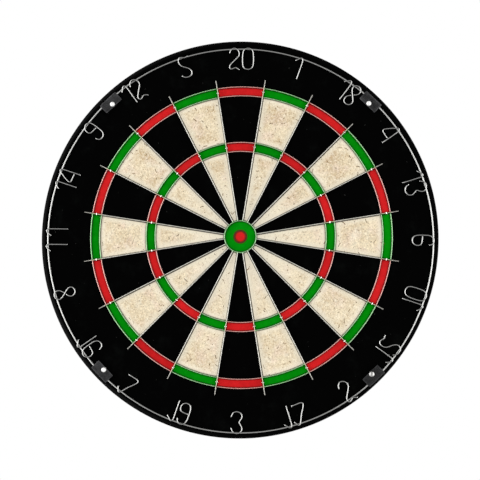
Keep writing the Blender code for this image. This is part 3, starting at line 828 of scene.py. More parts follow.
@dataclass(frozen=True)
class Enamel(Finish):
    """Black enamel on steel, with a faint ripple, dusty patches and scuffs."""

    scuff: Colour = srgb(78, 78, 80)
    ripple: float = 2.2 * MM
    relief: float = 0.06 * MM
    dust_patch: float = 38 * MM
    scratch: float = 5 * MM
    scratch_scale: Point3 = (0.25, 4.0, 0.25)

    def paint(self, tree: Tree, at: Term) -> dict[str, Term]:
        """Adds the ripple, the dusty patches and the scuffs.

        Args:
            tree: The material's tree.
            at: The point of the surface.

        Returns:
            Terms by shader socket.
        """
        dusty = tree.noise(at, self.dust_patch, 5.0, 0.6)
        drawn = tree.drawn_out(at, self.scratch_scale)
        worn = tree.noise(drawn, self.scratch, 3.0, 0.7).rise(0.66, 0.72) * dusty.rise(0.48, 0.7)
        return {
            "Base Color": tree.mix(worn * 0.35, tree.shade(self.colour, 0.7 + 0.6 * dusty), self.scuff),
            "Roughness": self.roughness + 0.22 * (dusty - 0.5) + 0.15 * worn,
            "Normal": tree.bump(tree.noise(at, self.ripple), self.relief, 0.25),
        }


@dataclass(frozen=True)
class Chipboard(Finish):
    """Pressed wood chips under thin black paint."""

    chip: Colour = srgb(52, 47, 42)
    bare: Colour = srgb(112, 88, 60)
    chip_size: float = 5.5 * MM
    swirl: float = 20 * MM
    swirl_reach: float = 6 * MM
    grain: float = 0.8 * MM
    rub_patch: float = 45 * MM
    relief: float = 0.25 * MM

    def paint(self, tree: Tree, at: Term) -> dict[str, Term]:
        """Adds the chips, their seams and the rubbed places.

        Args:
            tree: The material's tree.
            at: The point of the surface.

        Returns:
            Terms by shader socket.
        """
        bent = tree.warped(at, self.swirl, self.swirl_reach, 2.0)
        tones = tree.cells(bent, self.chip_size).other("Color")
        own = tree.add("ShaderNodeSeparateColor", {}, {0: tones})
        seams = tree.cells(bent, self.chip_size, "DISTANCE_TO_EDGE").rise(0.0, 0.09)
        fibre = tree.noise(at, self.grain, 3.0, 0.6)
        shown = own.rise(0.45, 1.0) * (0.3 + 0.7 * fibre)
        colour = tree.mix(shown * 0.7, self.colour, self.chip)
        rubbed = (own.other(1) * tree.noise(at, self.rub_patch, 3.0)).rise(0.52, 0.66)
        height = seams * 0.6 + fibre * 0.3 + own.other(2) * 0.4
        return {
            "Base Color": tree.mix(rubbed * fibre * 0.8, colour, self.bare),
            "Roughness": self.roughness + 0.2 * (fibre - 0.5),
            "Normal": tree.bump(height, self.relief, 0.5),
        }


@dataclass(frozen=True)
class Moulded(Finish):
    """Moulded plastic or rubber with a fine spark texture, paler where its mesh marks wear and a painted
    highlight.
    """

    worn: Colour = srgb(96, 96, 98)
    texture: float = 0.5 * MM
    relief: float = 0.06 * MM
    cloud: float = 8 * MM

    def paint(self, tree: Tree, at: Term) -> dict[str, Term]:
        """Adds the spark texture, the cloudy tone, and the wear and painted highlight.

        Args:
            tree: The material's tree.
            at: The point of the surface.

        Returns:
            Terms by shader socket.
        """
        cloudy = tree.noise(at, self.cloud, 3.0, 0.6).rise(0.3, 0.7)
        # Paler edges: partly wear, partly a painted highlight on the bevels
        rubbed = tree.attribute(WEAR_AND_SHEEN) * (0.3 + 0.5 * cloudy)
        return {
            "Base Color": tree.mix(rubbed, tree.shade(self.colour, 0.45 + 1.1 * cloudy), self.worn),
            "Roughness": self.roughness + 0.2 * (cloudy - 0.5),
            "Normal": tree.bump(tree.noise(at, self.texture, 3.0, 0.65), self.relief, 0.35),
        }


@dataclass(frozen=True)
class Paper(Finish):
    """Pale seamless paper that fades out round its edge."""

    solid: float = 1.0
    gone: float = 2.3
    grain: float = 4 * MM

    def paint(self, tree: Tree, at: Term) -> dict[str, Term]:
        """Adds the grain and the fading edge.

        Args:
            tree: The material's tree.
            at: The point of the surface.

        Returns:
            Terms by shader socket.
        """
        x, y, _ = tree.axes(at)
        return {
            "Base Color": tree.shade(self.colour, 0.98 + 0.04 * tree.noise(at, self.grain, 3.0)),
            "Alpha": 1.0 - tree.length(tree.vector(x, y, 0.0)).rise(self.solid, self.gone),
        }


@dataclass(frozen=True)
class Fibre(Finish):
    """Loose fibres, each with its own shade."""

    other: Colour = srgb(120, 88, 52)
    patch: float = 5 * MM
    grain: float = 0.3 * MM

    def paint(self, tree: Tree, at: Term) -> dict[str, Term]:
        """Adds the shades.

        Args:
            tree: The material's tree.
            at: The point of the surface.

        Returns:
            Terms by shader socket.
        """
        colour = tree.mix(tree.noise(at, self.patch, 1.0).rise(0.3, 0.7), self.colour, self.other)
        return {"Base Color": tree.shade(colour, 0.8 + 0.4 * tree.noise(at, self.grain, 1.0))}


def rounded_corner(centre: Point2, radius: float, start: float, end: float, steps: int = 4) -> Line:
    """Points on an arc, angles in degrees."""
    turns = [math.radians(start + (end - start) * i / steps) for i in range(steps + 1)]
    return [(centre[0] + radius * math.cos(t), centre[1] + radius * math.sin(t)) for t in turns]


def soft_section(inner: float, outer: float, low: float, high: float, bevel: float) -> Line:
    """A closed rectangular section with rounded corners.

    Args:
        inner: The smallest radius.
        outer: The largest radius.
        low: The lowest height.
        high: The highest height.
        bevel: The radius of the corners.

    Returns:
        Points as (radius, height).
    """
    section = rounded_corner((outer - bevel, high - bevel), bevel, 90, 0)
    section += rounded_corner((outer - bevel, low + bevel), bevel, 0, -90)
    section += rounded_corner((inner + bevel, low + bevel), bevel, 270, 180)
    section += rounded_corner((inner + bevel, high - bevel), bevel, 180, 90)
    return section


def dome(radius: float, foot: float, height: float, steps: int = 9) -> Line:
    """The outline of a dome from its top to its foot, as (radius, height)."""
    turns = np.linspace(0, QUARTER_TURN, steps)
    return [(radius * math.sin(t), foot + height * math.cos(t)) for t in turns]


class Solid:
    """A shape in the making, in the board frame."""

    def __init__(self) -> None:
        """Starts with nothing."""
        self.shape = bmesh.new()

    def layer(self, name: str) -> bmesh.types.BMLayerItem:
        """A value that each point carries."""
        layers = self.shape.verts.layers.float
        return layers.get(name) or layers.new(name)

    def skin(self, rows: list[Row], joined: bool = False, wrapped: bool = True) -> None:
        """Adds the faces between rows of points.

        Args:
            rows: The rows, each with as many points.
            joined: Whether the last row meets the first.
            wrapped: Whether each row meets its own start.
        """
        for one, two in zip(rows, rows[1:] + rows[:1] if joined else rows[1:]):
            for i in range(len(one) if wrapped else len(one) - 1):
                j = (i + 1) % len(one)
                corners = list(dict.fromkeys((one[i], one[j], two[j], two[i])))
                if len(corners) > 2:
                    self.shape.faces.new(corners)

    def revolve(
        self, profile: Line, steps: int, closed: bool = False, arc: Point2 = (0.0, FULL_TURN)
    ) -> "Solid":
        """Adds a turned shape about Z, or part of one with capped ends.

        Args:
            profile: Points as (radius, height).
            steps: How many steps the turn has.
            closed: Whether the profile is a closed section.
            arc: The angles where the turn starts and ends.

        Returns:
            The solid.
        """
        full = abs(arc[1] - arc[0] - FULL_TURN) < TINY
        count = steps if full else steps + 1
        angles = [arc[0] + (arc[1] - arc[0]) * i / steps for i in range(count)]
        new = self.shape.verts.new
        rows = []
        for radius, height in profile:
            if radius < TINY:
                rows.append([new((0, 0, height))] * count)
            else:
                rows.append([new((radius * math.cos(a), radius * math.sin(a), height)) for a in angles])
        self.skin(rows, closed, full)
        if not full:
            self.cap([[row[end] for row in rows] for end in (0, -1)])
        return self

    def tube(self, path: np.ndarray, radius: float, sides: int, closed: bool = False) -> "Solid":
        """Adds a round wire along a path that has no stretch along Z, its ends a little rounded.

        Args:
            path: Points, one row each.
            radius: The radius of the wire.
            sides: How many sides its section has.
            closed: Whether the path joins its own start.

        Returns:
            The solid.
        """
        along = np.roll(path, -1, 0) - np.roll(path, 1, 0) if closed else np.gradient(path, axis=0)
        along = along / np.linalg.norm(along, axis=1, keepdims=True)
        side = np.cross((0.0, 0.0, 1.0), along)
        lift = np.cross(along, side)
        sections = [(path[i], side[i], lift[i], radius) for i in range(len(path))]
        if not closed:
            # How far out each step of a rounded end is, and how wide, as shares of the radius
            tips = ((0.30, 0.82), (0.45, 0.45))
            for out, share in tips:
                sections.insert(0, (path[0] - along[0] * radius * out, side[0], lift[0], radius * share))
                sections.append((path[-1] + along[-1] * radius * out, side[-1], lift[-1], radius * share))
        crown = self.layer(CROWN)
        rows = []
        for point, across, up, size in sections:
            row = []
            for turn in (FULL_TURN * k / sides for k in range(sides)):
                out = math.cos(turn) * across + math.sin(turn) * up
                vertex = self.shape.verts.new(point + size * out)
                vertex[crown] = math.sin(turn)
                row.append(vertex)
            rows.append(row)
        self.skin(rows, closed)
        if not closed:
            self.cap(rows)
        return self

    def cap(self, rows: list[Row]) -> None:
        """Closes the first and the last row."""
        for end in (0, -1):
            self.shape.faces.new(rows[end])

    def shift(self, at: Sequence[float]) -> "Solid":
        """Moves everything across the face."""
        bmesh.ops.translate(self.shape, verts=self.shape.verts, vec=(at[0], at[1], 0))
        return self

    def turn(self, matrix: Matrix) -> "Solid":
        """Moves and turns everything."""
        bmesh.ops.transform(self.shape, matrix=matrix, verts=self.shape.verts)
        return self

    def mesh(self, name: str) -> bpy.types.Mesh:
        """Turns the shape into a mesh, and frees it.

        Args:
            name: The name of the mesh.

        Returns:
            The mesh.
        """
        made = bpy.data.meshes.new(name)
        self.shape.to_mesh(made)
        self.shape.free()
        return made

    def piece(self, name: str) -> Piece:
        """Turns the shape into an object, its faces outwards."""
        bmesh.ops.recalc_face_normals(self.shape, faces=self.shape.faces)
        return link(name, self.mesh(name))


def dress(piece: Piece, finish: Finish, slot: Slot, *nodes: str, body: Body = Body.BOARD) -> None:
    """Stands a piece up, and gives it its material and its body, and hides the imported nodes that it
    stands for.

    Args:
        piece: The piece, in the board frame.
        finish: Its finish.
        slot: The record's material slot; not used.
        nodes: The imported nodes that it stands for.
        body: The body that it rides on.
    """
    piece.data.transform(UPRIGHT)
    piece.data.shade_smooth()
    piece.data.set_sharp_from_angle(angle=SHARP_ANGLE)
    piece.data.materials.clear()
    piece.data.materials.append(finish.material())
    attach(piece, body.value)
    if nodes:
        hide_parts(*nodes)
    LOG.info("%s: %d faces on %s", piece.name, len(piece.data.polygons), body.value)


@dataclass(frozen=True)
class Scatter:
    """Loose bits of one kind that lie on the beds of one dye."""

    name: str
    finish: Fibre
    on_cream: bool
    per_square_metre: float
    seed: int
    shortest_mm: float
    stretch_mm: float
    girth: float


@dataclass
class SisalPad:
    """The dyed pad, with the groove round the bull, its loose fibres and specks of lint."""

    beds: Beds
    finish: Sisal
    scatters: tuple[Scatter, ...]
    edge: float = 5.0 * MM
    edge_steps: int = 10
    steps: int = 256
    face_rings: int = 9
    groove_half: float = 0.75 * MM
    groove_depth: float = 6.3 * MM
    clear_of_wire: float = 1.2 * MM
    bed_parts: int = 4
    rim_steps: int = 80
    fibre_radius: float = 0.11 * MM
    fibre_sides: int = 4

    def build_pad(self) -> Piece:
        """The pad as a turned shape with a rounded front edge.

        Returns:
            The piece, in the board frame.
        """
        back, face = depth("sisal_pad")
        bed = self.beds
        groove = (bed.bull - self.groove_half, bed.bull + self.groove_half)
        profile = [(0.0, face), (groove[0], face), (groove[0], face - self.groove_depth)]
        profile += [(groove[1], face - self.groove_depth), (groove[1], face)]
        inner, outer = bed.outer_bull, bed.rim - self.edge
        profile += [(inner + (outer - inner) * i / self.face_rings, face) for i in range(self.face_rings)]
        profile += rounded_corner((outer, face - self.edge), self.edge, 90, 0, self.edge_steps)
        profile += [(bed.rim, back), (0.0, back)]
        solid = Solid().revolve(profile, self.steps)
        for vertex in solid.shape.verts:
            if vertex.co.z > face - 2 * self.groove_depth and vertex.co.xy.length < 1.5 * inner:
                vertex.co.xy += Vector(bed.centre)
        return solid.piece("sisal_face")

    def bed_faces(self, name: str, cream: bool) -> bpy.types.Mesh:
        """The flat beds of one dye, for scattering.

        Args:
            name: The name of the mesh.
            cream: Whether the cream beds are wanted, or the black ones.

        Returns:
            A mesh in the board frame, on the face of the pad.
        """
        face = depth("sisal_pad")[1]
        bed = self.beds
        spans = ((bed.outer_bull, bed.treble_inner), (bed.treble_outer, bed.double_inner))
        sector = FULL_TURN / bed.sectors
        solid = Solid()
        new = solid.shape.verts.new
        for index in range(1 if cream else 0, bed.sectors, 2):
            for low, high in spans:
                trim = self.clear_of_wire / low
                start = QUARTER_TURN - (index + 0.5) * sector + trim
                width = sector - 2 * trim
                for part in range(self.bed_parts):
                    one, two = (start + width * k / self.bed_parts for k in (part, part + 1))
                    corners = ((low, one), (high, one), (high, two), (low, two))
                    points = [new((r * math.cos(a), r * math.sin(a), face)) for r, a in corners]
                    solid.shape.faces.new(points)
        solid.shift(bed.centre)
        if not cream:
            reaches = (bed.double_outer + 4 * self.clear_of_wire, bed.rim - self.edge)
            solid.revolve([(radius, face) for radius in reaches], self.rim_steps)
        return solid.mesh(name)

    def fibre_pattern(self) -> Piece:
        """One short bent fibre that lies along X, a millimetre long.

        Returns:
            The pattern.
        """
        bends = np.array([(-0.5, -0.08), (-0.2, 0.03), (0.12, 0.05), (0.5, -0.05)]) * MM
        path = np.column_stack([bends, np.zeros(len(bends))])
        return Solid().tube(path, self.fibre_radius, self.fibre_sides).piece("fibre_pattern")

    def scatter_tree(self) -> GeometryTree:
        """Scatters a pattern over a mesh, each copy turned and sized at random.

        Returns:
            The tree.
        """
        tree = GeometryTree("loose_fibres")
        pattern = tree.pattern()
        density, seed = tree.input("Density"), tree.input("Seed", "Int")
        sockets = {"Mesh": tree.given(), "Density": density, "Seed": seed}
        points = tree.add("GeometryNodeDistributePointsOnFaces", {}, sockets)
        turn = tree.random(0.0, FULL_TURN, 1)
        spread = tree.random(0.0, 1.0, 2)
        length = tree.input("Shortest") + tree.input("Stretch") * spread * spread * spread
        girth = tree.input("Girth") * tree.random(0.6, 1.5, 3)
        return tree.repeat(points, pattern, turn, tree.vector(length, girth, girth))

    def make(self) -> None:
        """Builds and dresses the pad and what lies on it."""
        dress(self.build_pad(), self.finish, Slot.SISAL, "sisal_pad")
        pattern = self.fibre_pattern()
        tree = self.scatter_tree()
        for bits in self.scatters:
            values = {
                "Pattern": pattern,
                "Density": bits.per_square_metre,
                "Seed": bits.seed,
                "Shortest": bits.shortest_mm,
                "Stretch": bits.stretch_mm,
                "Girth": bits.girth,
            }
            piece = tree.run(bits.name, bits.finish, values, self.bed_faces(bits.name, bits.on_cream))
            dress(piece, bits.finish, Slot.SISAL)
        bpy.data.objects.remove(pattern)


@dataclass
class Spider:
    """Scoring wires: rings, radials, the bull's band and the staples that hold them down."""

    beds: Beds
    wire: float
    band: float
    finish: Steel
    band_finish: Steel
    staple_finish: Steel
    ring_steps: int = 240
    sides: int = 14
    band_bevel: float = 0.2 * MM
    band_steps: int = 64
    staple_wire: float = 0.75 * MM
    staple_span: float = 3.2 * MM
    staple_bend: float = 0.9 * MM
    staple_bite: float = 2 * MM
    staple_sides: int = 8
    staple_jitter: float = 0.7 * MM
    staple_lean: float = 0.25
    staple_seed: int = 3

    def ring_tree(self) -> GeometryTree:
        """A wire bent into a circle.

        Returns:
            The tree.
        """
        tree = GeometryTree("ring_wire")
        radius, wire, seat = tree.input("Radius"), tree.input("Wire"), tree.input("Seat", "Vector")
        body = tree.wire(tree.circle(radius, self.ring_steps), wire, self.sides, False)
        return tree.close(tree.add("GeometryNodeTransform", {}, {"Geometry": body, "Translation": seat}))

    def radial_tree(self) -> GeometryTree:
        """Straight wires that stand round the bull like spokes.

        Returns:
            The tree.
        """
        tree = GeometryTree("radial_wires")
        count, wire, seat = tree.input("Count", "Int"), tree.input("Wire"), tree.input("Seat", "Vector")
        ends = {end: tree.vector(tree.input(end), 0.0, 0.0) for end in ("Start", "End")}
        path = tree.add("GeometryNodeCurvePrimitiveLine", {"mode": "POINTS"}, ends)
        body = tree.wire(path, wire, self.sides, True)
        turn = (tree.add("GeometryNodeInputIndex") + 0.5) * FULL_TURN / count - self.beds.twist
        points = tree.add("GeometryNodePoints", {}, {"Count": count, "Position": seat})
        return tree.repeat(points, body, turn)

    def staple_tree(self) -> GeometryTree:
        """Staples over the radials, in the middle of the doubles and of the trebles.

        Returns:
            The tree.
        """
        tree = GeometryTree("staples")
        pattern = tree.pattern()
        count, seat = tree.input("Count", "Int"), tree.input("Seat", "Vector")
        double, treble = tree.input("Double"), tree.input("Treble")
        index = tree.add("GeometryNodeInputIndex")
        within = index > (count - 0.5)
        jitter = tree.random(-self.staple_jitter, self.staple_jitter, self.staple_seed)
        radius = double + within * (treble - double) + jitter
        turn = (index + 0.5) * FULL_TURN / count - self.beds.twist
        out = tree.vector(radius * turn.math("COSINE"), radius * turn.math("SINE"), 0.0)
        at = tree.add("ShaderNodeVectorMath", {"operation": "ADD"}, {0: out, 1: seat})
        points = tree.add("GeometryNodePoints", {}, {"Count": count * 2.0, "Position": at})
        lean = tree.random(-self.staple_lean, self.staple_lean, self.staple_seed + 1)
        return tree.repeat(points, pattern, turn + lean)

    def staple_pattern(self, legs: float) -> Piece:
        """One staple across Y, its crown at nought and its legs down into the pad.

        Args:
            legs: How far the legs go down.

        Returns:
            The pattern.
        """
        bend = self.staple_bend
        half = self.staple_span / 2 - self.staple_wire / 2
        corner = [(x, z - bend) for x, z in rounded_corner((half - bend, 0.0), bend, 0, 90, 5)]
        side = [(half, -legs)] + corner
        line = side + [(-x, z) for x, z in reversed(side)]
        path = np.array([(x, z, 0.0) for x, z in line])
        solid = Solid().tube(path, self.staple_wire / 2, self.staple_sides)
        to_place = Matrix.Rotation(QUARTER_TURN, 4, "Z") @ Matrix.Rotation(QUARTER_TURN, 4, "X")
        return solid.turn(to_place).piece("staple_pattern")

    def make(self) -> None:
        """Builds and dresses the scoring wires."""
        beds = self.beds
        tree = self.ring_tree()
        rings = {
            "wire_bull": beds.outer_bull,
            "wire_treble_inner": beds.treble_inner,
            "wire_treble_outer": beds.treble_outer,
            "wire_double_inner": beds.double_inner,
            "wire_double_outer": beds.double_outer,
        }
        for node, radius in rings.items():
            values = {"Radius": radius, "Wire": self.wire, "Seat": middle(node)}
            dress(tree.run(f"{node}_ring", self.finish, values), self.finish, Slot.WIRE, node)

        nodes = [f"radial_wire_{number:02d}" for number in range(1, beds.sectors + 1)]
        level = middle(nodes[0])[2]
        values = {
            "Count": beds.sectors,
            "Wire": self.wire,
            "Seat": (*beds.centre, level),
            "Start": beds.outer_bull,
            "End": beds.spoke_end,
        }
        piece = self.radial_tree().run("radial_wires", self.finish, values)
        dress(piece, self.finish, Slot.WIRE, *nodes)

        crown = level + (self.wire + self.staple_wire) / 2
        pattern = self.staple_pattern(crown - depth("sisal_pad")[1] + self.staple_bite)
        values = {
            "Pattern": pattern,
            "Count": beds.sectors,
            "Seat": (*beds.centre, crown),
            "Double": (beds.double_inner + beds.double_outer) / 2,
            "Treble": (beds.treble_inner + beds.treble_outer) / 2,
        }
        piece = self.staple_tree().run("staples", self.staple_finish, values)
        bpy.data.objects.remove(pattern)
        dress(piece, self.staple_finish, Slot.WIRE)

        half = self.band / 2
        section = soft_section(beds.bull - half, beds.bull + half, *depth("bull_band"), self.band_bevel)
        solid = Solid().revolve(section, self.band_steps, closed=True).shift(beds.centre)
        dress(solid.piece("bull_ring_band"), self.band_finish, Slot.BULL_STEEL, "bull_band")


@dataclass
class NumberRing:
    """The loose ring with its bent-wire numbers, a little out of round."""

    finish: Steel
    wire: float = 1.9 * MM
    digit_wire: float = 1.4 * MM
    height: float = 24.0 * MM
    overhang: float = 1.7 * MM
    weld_sink: float = 0.5 * MM
    seat_gap: float = 0.3 * MM
    digit_gap: float = 3.7 * MM
    ones_gap: float = 10.0 * MM
    turn: float = math.radians(-0.9)
    oval: float = 0.7 * MM
    oval_axis: float = math.radians(-18.5)
    bend_step: float = math.radians(9)
    ring_steps: int = 320
    sides: int = 12
    grid: float = 24.0
    dial: tuple[int, ...] = (20, 1, 18, 4, 13, 6, 10, 15, 2, 17, 3, 19, 7, 16, 8, 11, 14, 9, 12, 5)
    glyphs: dict[str, Line] = field(default_factory=dict)
    nudges_mm: dict[int, Point2] = field(default_factory=dict)

    def __post_init__(self) -> None:
        """Draws the digits on a grid, in the order that the wire runs, and lists how far each number is
        moved.
        """
        # How far a number is outwards and anticlockwise of its place
        self.nudges_mm = {
            20: (-1.3, 0.0), 1: (-1.7, 0.3), 4: (-0.5, 0.6), 13: (-0.4, 1.3), 6: (-0.6, 1.0),
            2: (1.0, 0.9), 17: (-0.6, 1.3), 3: (-1.6, 0.9), 19: (-1.7, -0.3), 7: (-0.6, -1.8),
            11: (0.4, 3.4), 12: (0.6, 1.0), 5: (-0.7, 0.6),
        }
        meet = self.digit_wire * self.grid / self.height
        side, stem = -5.6, 5.6
        crossing, lean, shy = (-0.1, 12.1), math.radians(40.8), meet + 0.6
        short = (shy * math.cos(lean), shy * math.sin(lean))
        six = [
            (5.6, 18.8), (4.0, 22.6), (0.5, 24.0), (-3.2, 22.6), (-5.2, 19.0), (side, 13.6),
            (-5.5, 6.4), (-4.0, 1.8), (0.0, 0.0), (4.2, 1.8), (5.8, 6.0), (4.6, 9.6), (1.8, 10.8),
            (side + meet, 11.4),
        ]
        self.glyphs = {
            "0": [
                (0.0, 24.0), (-4.2, 22.4), (-5.9, 18.0), (-6.0, 6.0), (-4.3, 1.6),
                (0.0, 0.0), (4.3, 1.6), (6.0, 6.0), (5.9, 18.0), (4.2, 22.4),
            ],
            "1": [(0, 0), (0, 20.4), (-0.6, 23.0), (-2.3, 24.0), (-4.1, 22.9), (-7.6, 19.2)],
            "2": [
                (-5.6, 18.6), (-4.1, 22.0), (-0.4, 24.0), (3.7, 22.0), (5.3, 17.8), (4.0, 14.2),
                (-4.3, 5.6), (-5.4, 2.4), (-4.0, 0.4), (-1.6, 0.8), (1.4, 1.9), (3.6, 1.0), (5.6, -0.6),
            ],
            "3": [
                (-6.0, 18.4), (-3.6, 22.7), (0.5, 24.0), (4.8, 22.0), (6.0, 18.4), (4.7, 15.3),
                (3.0, 12.3), (4.5, 9.4), (6.1, 5.6), (4.6, 1.7), (0.2, 0.0), (-4.0, 1.8), (-6.0, 5.8),
            ],
            "4": [
                (stem, 0.2), (stem, 21.0), (4.0, 24.0), (1.8, 22.8),
                (-5.4, 11.2), (-5.2, 8.6), (-3.2, 7.9), (stem - meet, 7.4),
            ],
            "5": [
                (6.0, 23.2), (2.6, 22.3), (-1.0, 23.6), (-3.6, 23.7), (-5.3, 21.6), (-5.4, 18.4),
                (-4.2, 15.0), (-1.6, 12.6), (2.4, 10.0), (5.0, 7.2), (5.6, 3.8), (3.6, 0.7),
                (-0.6, 0.0), (-4.0, 1.0), (-6.2, 3.4),
            ],
            "6": six,
            "7": [
                (-6.6, 22.2), (-1.0, 22.7), (4.6, 23.0), (6.4, 21.4), (5.8, 18.6), (1.6, 11.0),
                (-0.6, 6.0), (-2.4, 1.8), (-4.0, 0.1), (-5.6, 0.4), (-8.6, 4.6),
            ],
            "8": [
                (crossing[0] + short[0], crossing[1] + short[1]),
                (4.3, 16.2), (5.1, 19.6), (3.4, 22.9), (0.1, 24.0),
                (-3.5, 22.8), (-4.9, 19.6), (-3.6, 16.2),
                crossing,
                (3.3, 8.2), (4.8, 5.0), (3.2, 1.3), (-0.4, 0.0), (-4.0, 1.3), (-5.1, 4.8), (-4.2, 8.0),
                (crossing[0] - short[0], crossing[1] - short[1]),
            ],
            "9": [(-x, self.grid - y) for x, y in six],
        }

    def bent(self, points: Line, closed: bool) -> Line:
        """A smooth line through points, closer together where it bends.

        Args:
            points: The points that it passes.
            closed: Whether it joins its own start.

        Returns:
            The line's points.
        """
        count = len(points)
        at = np.array(points, float)
        before = at[[i - 1 if closed or i else i for i in range(count)]]
        after = at[[(i + 1) % count if closed or i < count - 1 else i for i in range(count)]]
        tangents = (after - before) / np.linalg.norm(after - before, axis=1, keepdims=True)
        line = []
        for i in range(count if closed else count - 1):
            j = (i + 1) % count
            length = float(np.linalg.norm(at[j] - at[i]))
            bend = math.acos(float(np.clip(tangents[i] @ tangents[j], -1, 1)))
            steps = 2 + int(bend / self.bend_step)
            for t in (step / steps for step in range(steps)):
                point = (1 + 2 * t) * (1 - t) ** 2 * at[i] + t * t * (3 - 2 * t) * at[j]
                point = point + length * (t * (1 - t) ** 2 * tangents[i] + t * t * (t - 1) * tangents[j])
                line.append((float(point[0]), float(point[1])))
        return line if closed else line + [points[-1]]

    def laid_out(self, number: int, hook_below: bool) -> list[tuple[str, Line]]:
        """The digits of a number side by side, centred.

        Args:
            number: The number.
            hook_below: Whether a one has its hook at the foot.

        Returns:
            Each character with its points, in grid units.
        """
        gap = (self.ones_gap if number == 11 else self.digit_gap) * self.grid / self.height
        digits, edge = [], 0.0
        for index, character in enumerate(str(number)):
            glyph = self.glyphs[character]
            if character == "1" and hook_below:
                glyph = [(x, self.grid - y) for x, y in glyph]
            edge += gap if index else 0.0
            left = min(x for x, _ in glyph)
            digits.append((character, [(x - left + edge, y) for x, y in glyph]))
            edge += max(x for x, _ in glyph) - left
        return [(character, [(x - edge / 2, y) for x, y in points]) for character, points in digits]

    def add_number(self, solid: Solid, step: int, radius: float, level: float) -> None:
        """Adds one number's wires.

        Args:
            solid: The solid to add to.
            step: The number's place on the dial.
            radius: The radius of the ring.
            level: How far the digits' wire is from the wall.
        """
        number = self.dial[step]
        sector = FULL_TURN / len(self.dial)
        nominal = QUARTER_TURN - step * sector
        angle = nominal + self.turn
        below = math.sin(nominal) < -math.sin(sector / 2)
        unit = self.height / self.grid
        sign = -1 if below else 1
        datum = self.overhang if below else self.height - self.overhang
        radial = np.array((math.cos(angle), math.sin(angle)))
        clockwise = np.array((math.sin(angle), -math.cos(angle)))
        outwards, anticlockwise = self.nudges_mm.get(number, (0.0, 0.0))
        nudge = (outwards * radial - anticlockwise * clockwise) * MM
        for character, points in self.laid_out(number, below):
            along = sum(x for x, _ in points) / len(points) * unit
            line = math.sqrt(radius**2 - along**2)
            path = []
            for x, y in self.bent(points, character == "0"):
                spot = (line + sign * (y * unit - datum)) * radial + sign * x * unit * clockwise + nudge
                path.append((spot[0], spot[1], level))
            solid.tube(np.array(path), self.digit_wire / 2, self.sides, character == "0")

    def make(self) -> None:
        """Builds and dresses the ring with its numbers."""
        level = depth("sisal_pad")[1] + self.seat_gap + self.wire / 2
        centre, radius = ring_circle()
        turns = np.linspace(0, FULL_TURN, self.ring_steps, endpoint=False)
        out = radius + self.oval * np.cos(2 * (turns - self.oval_axis))
        circle = np.column_stack([out * np.cos(turns), out * np.sin(turns), np.full_like(turns, level)])
        solid = Solid().tube(circle, self.wire / 2, self.sides, closed=True)
        digit_level = level + (self.wire + self.digit_wire) / 2 - self.weld_sink
        for step in range(len(self.dial)):
            self.add_number(solid, step, radius, digit_level)
        piece = solid.shift(centre).piece("number_wire")
        dress(piece, self.finish, Slot.WIRE, "number_ring", body=Body.RING)


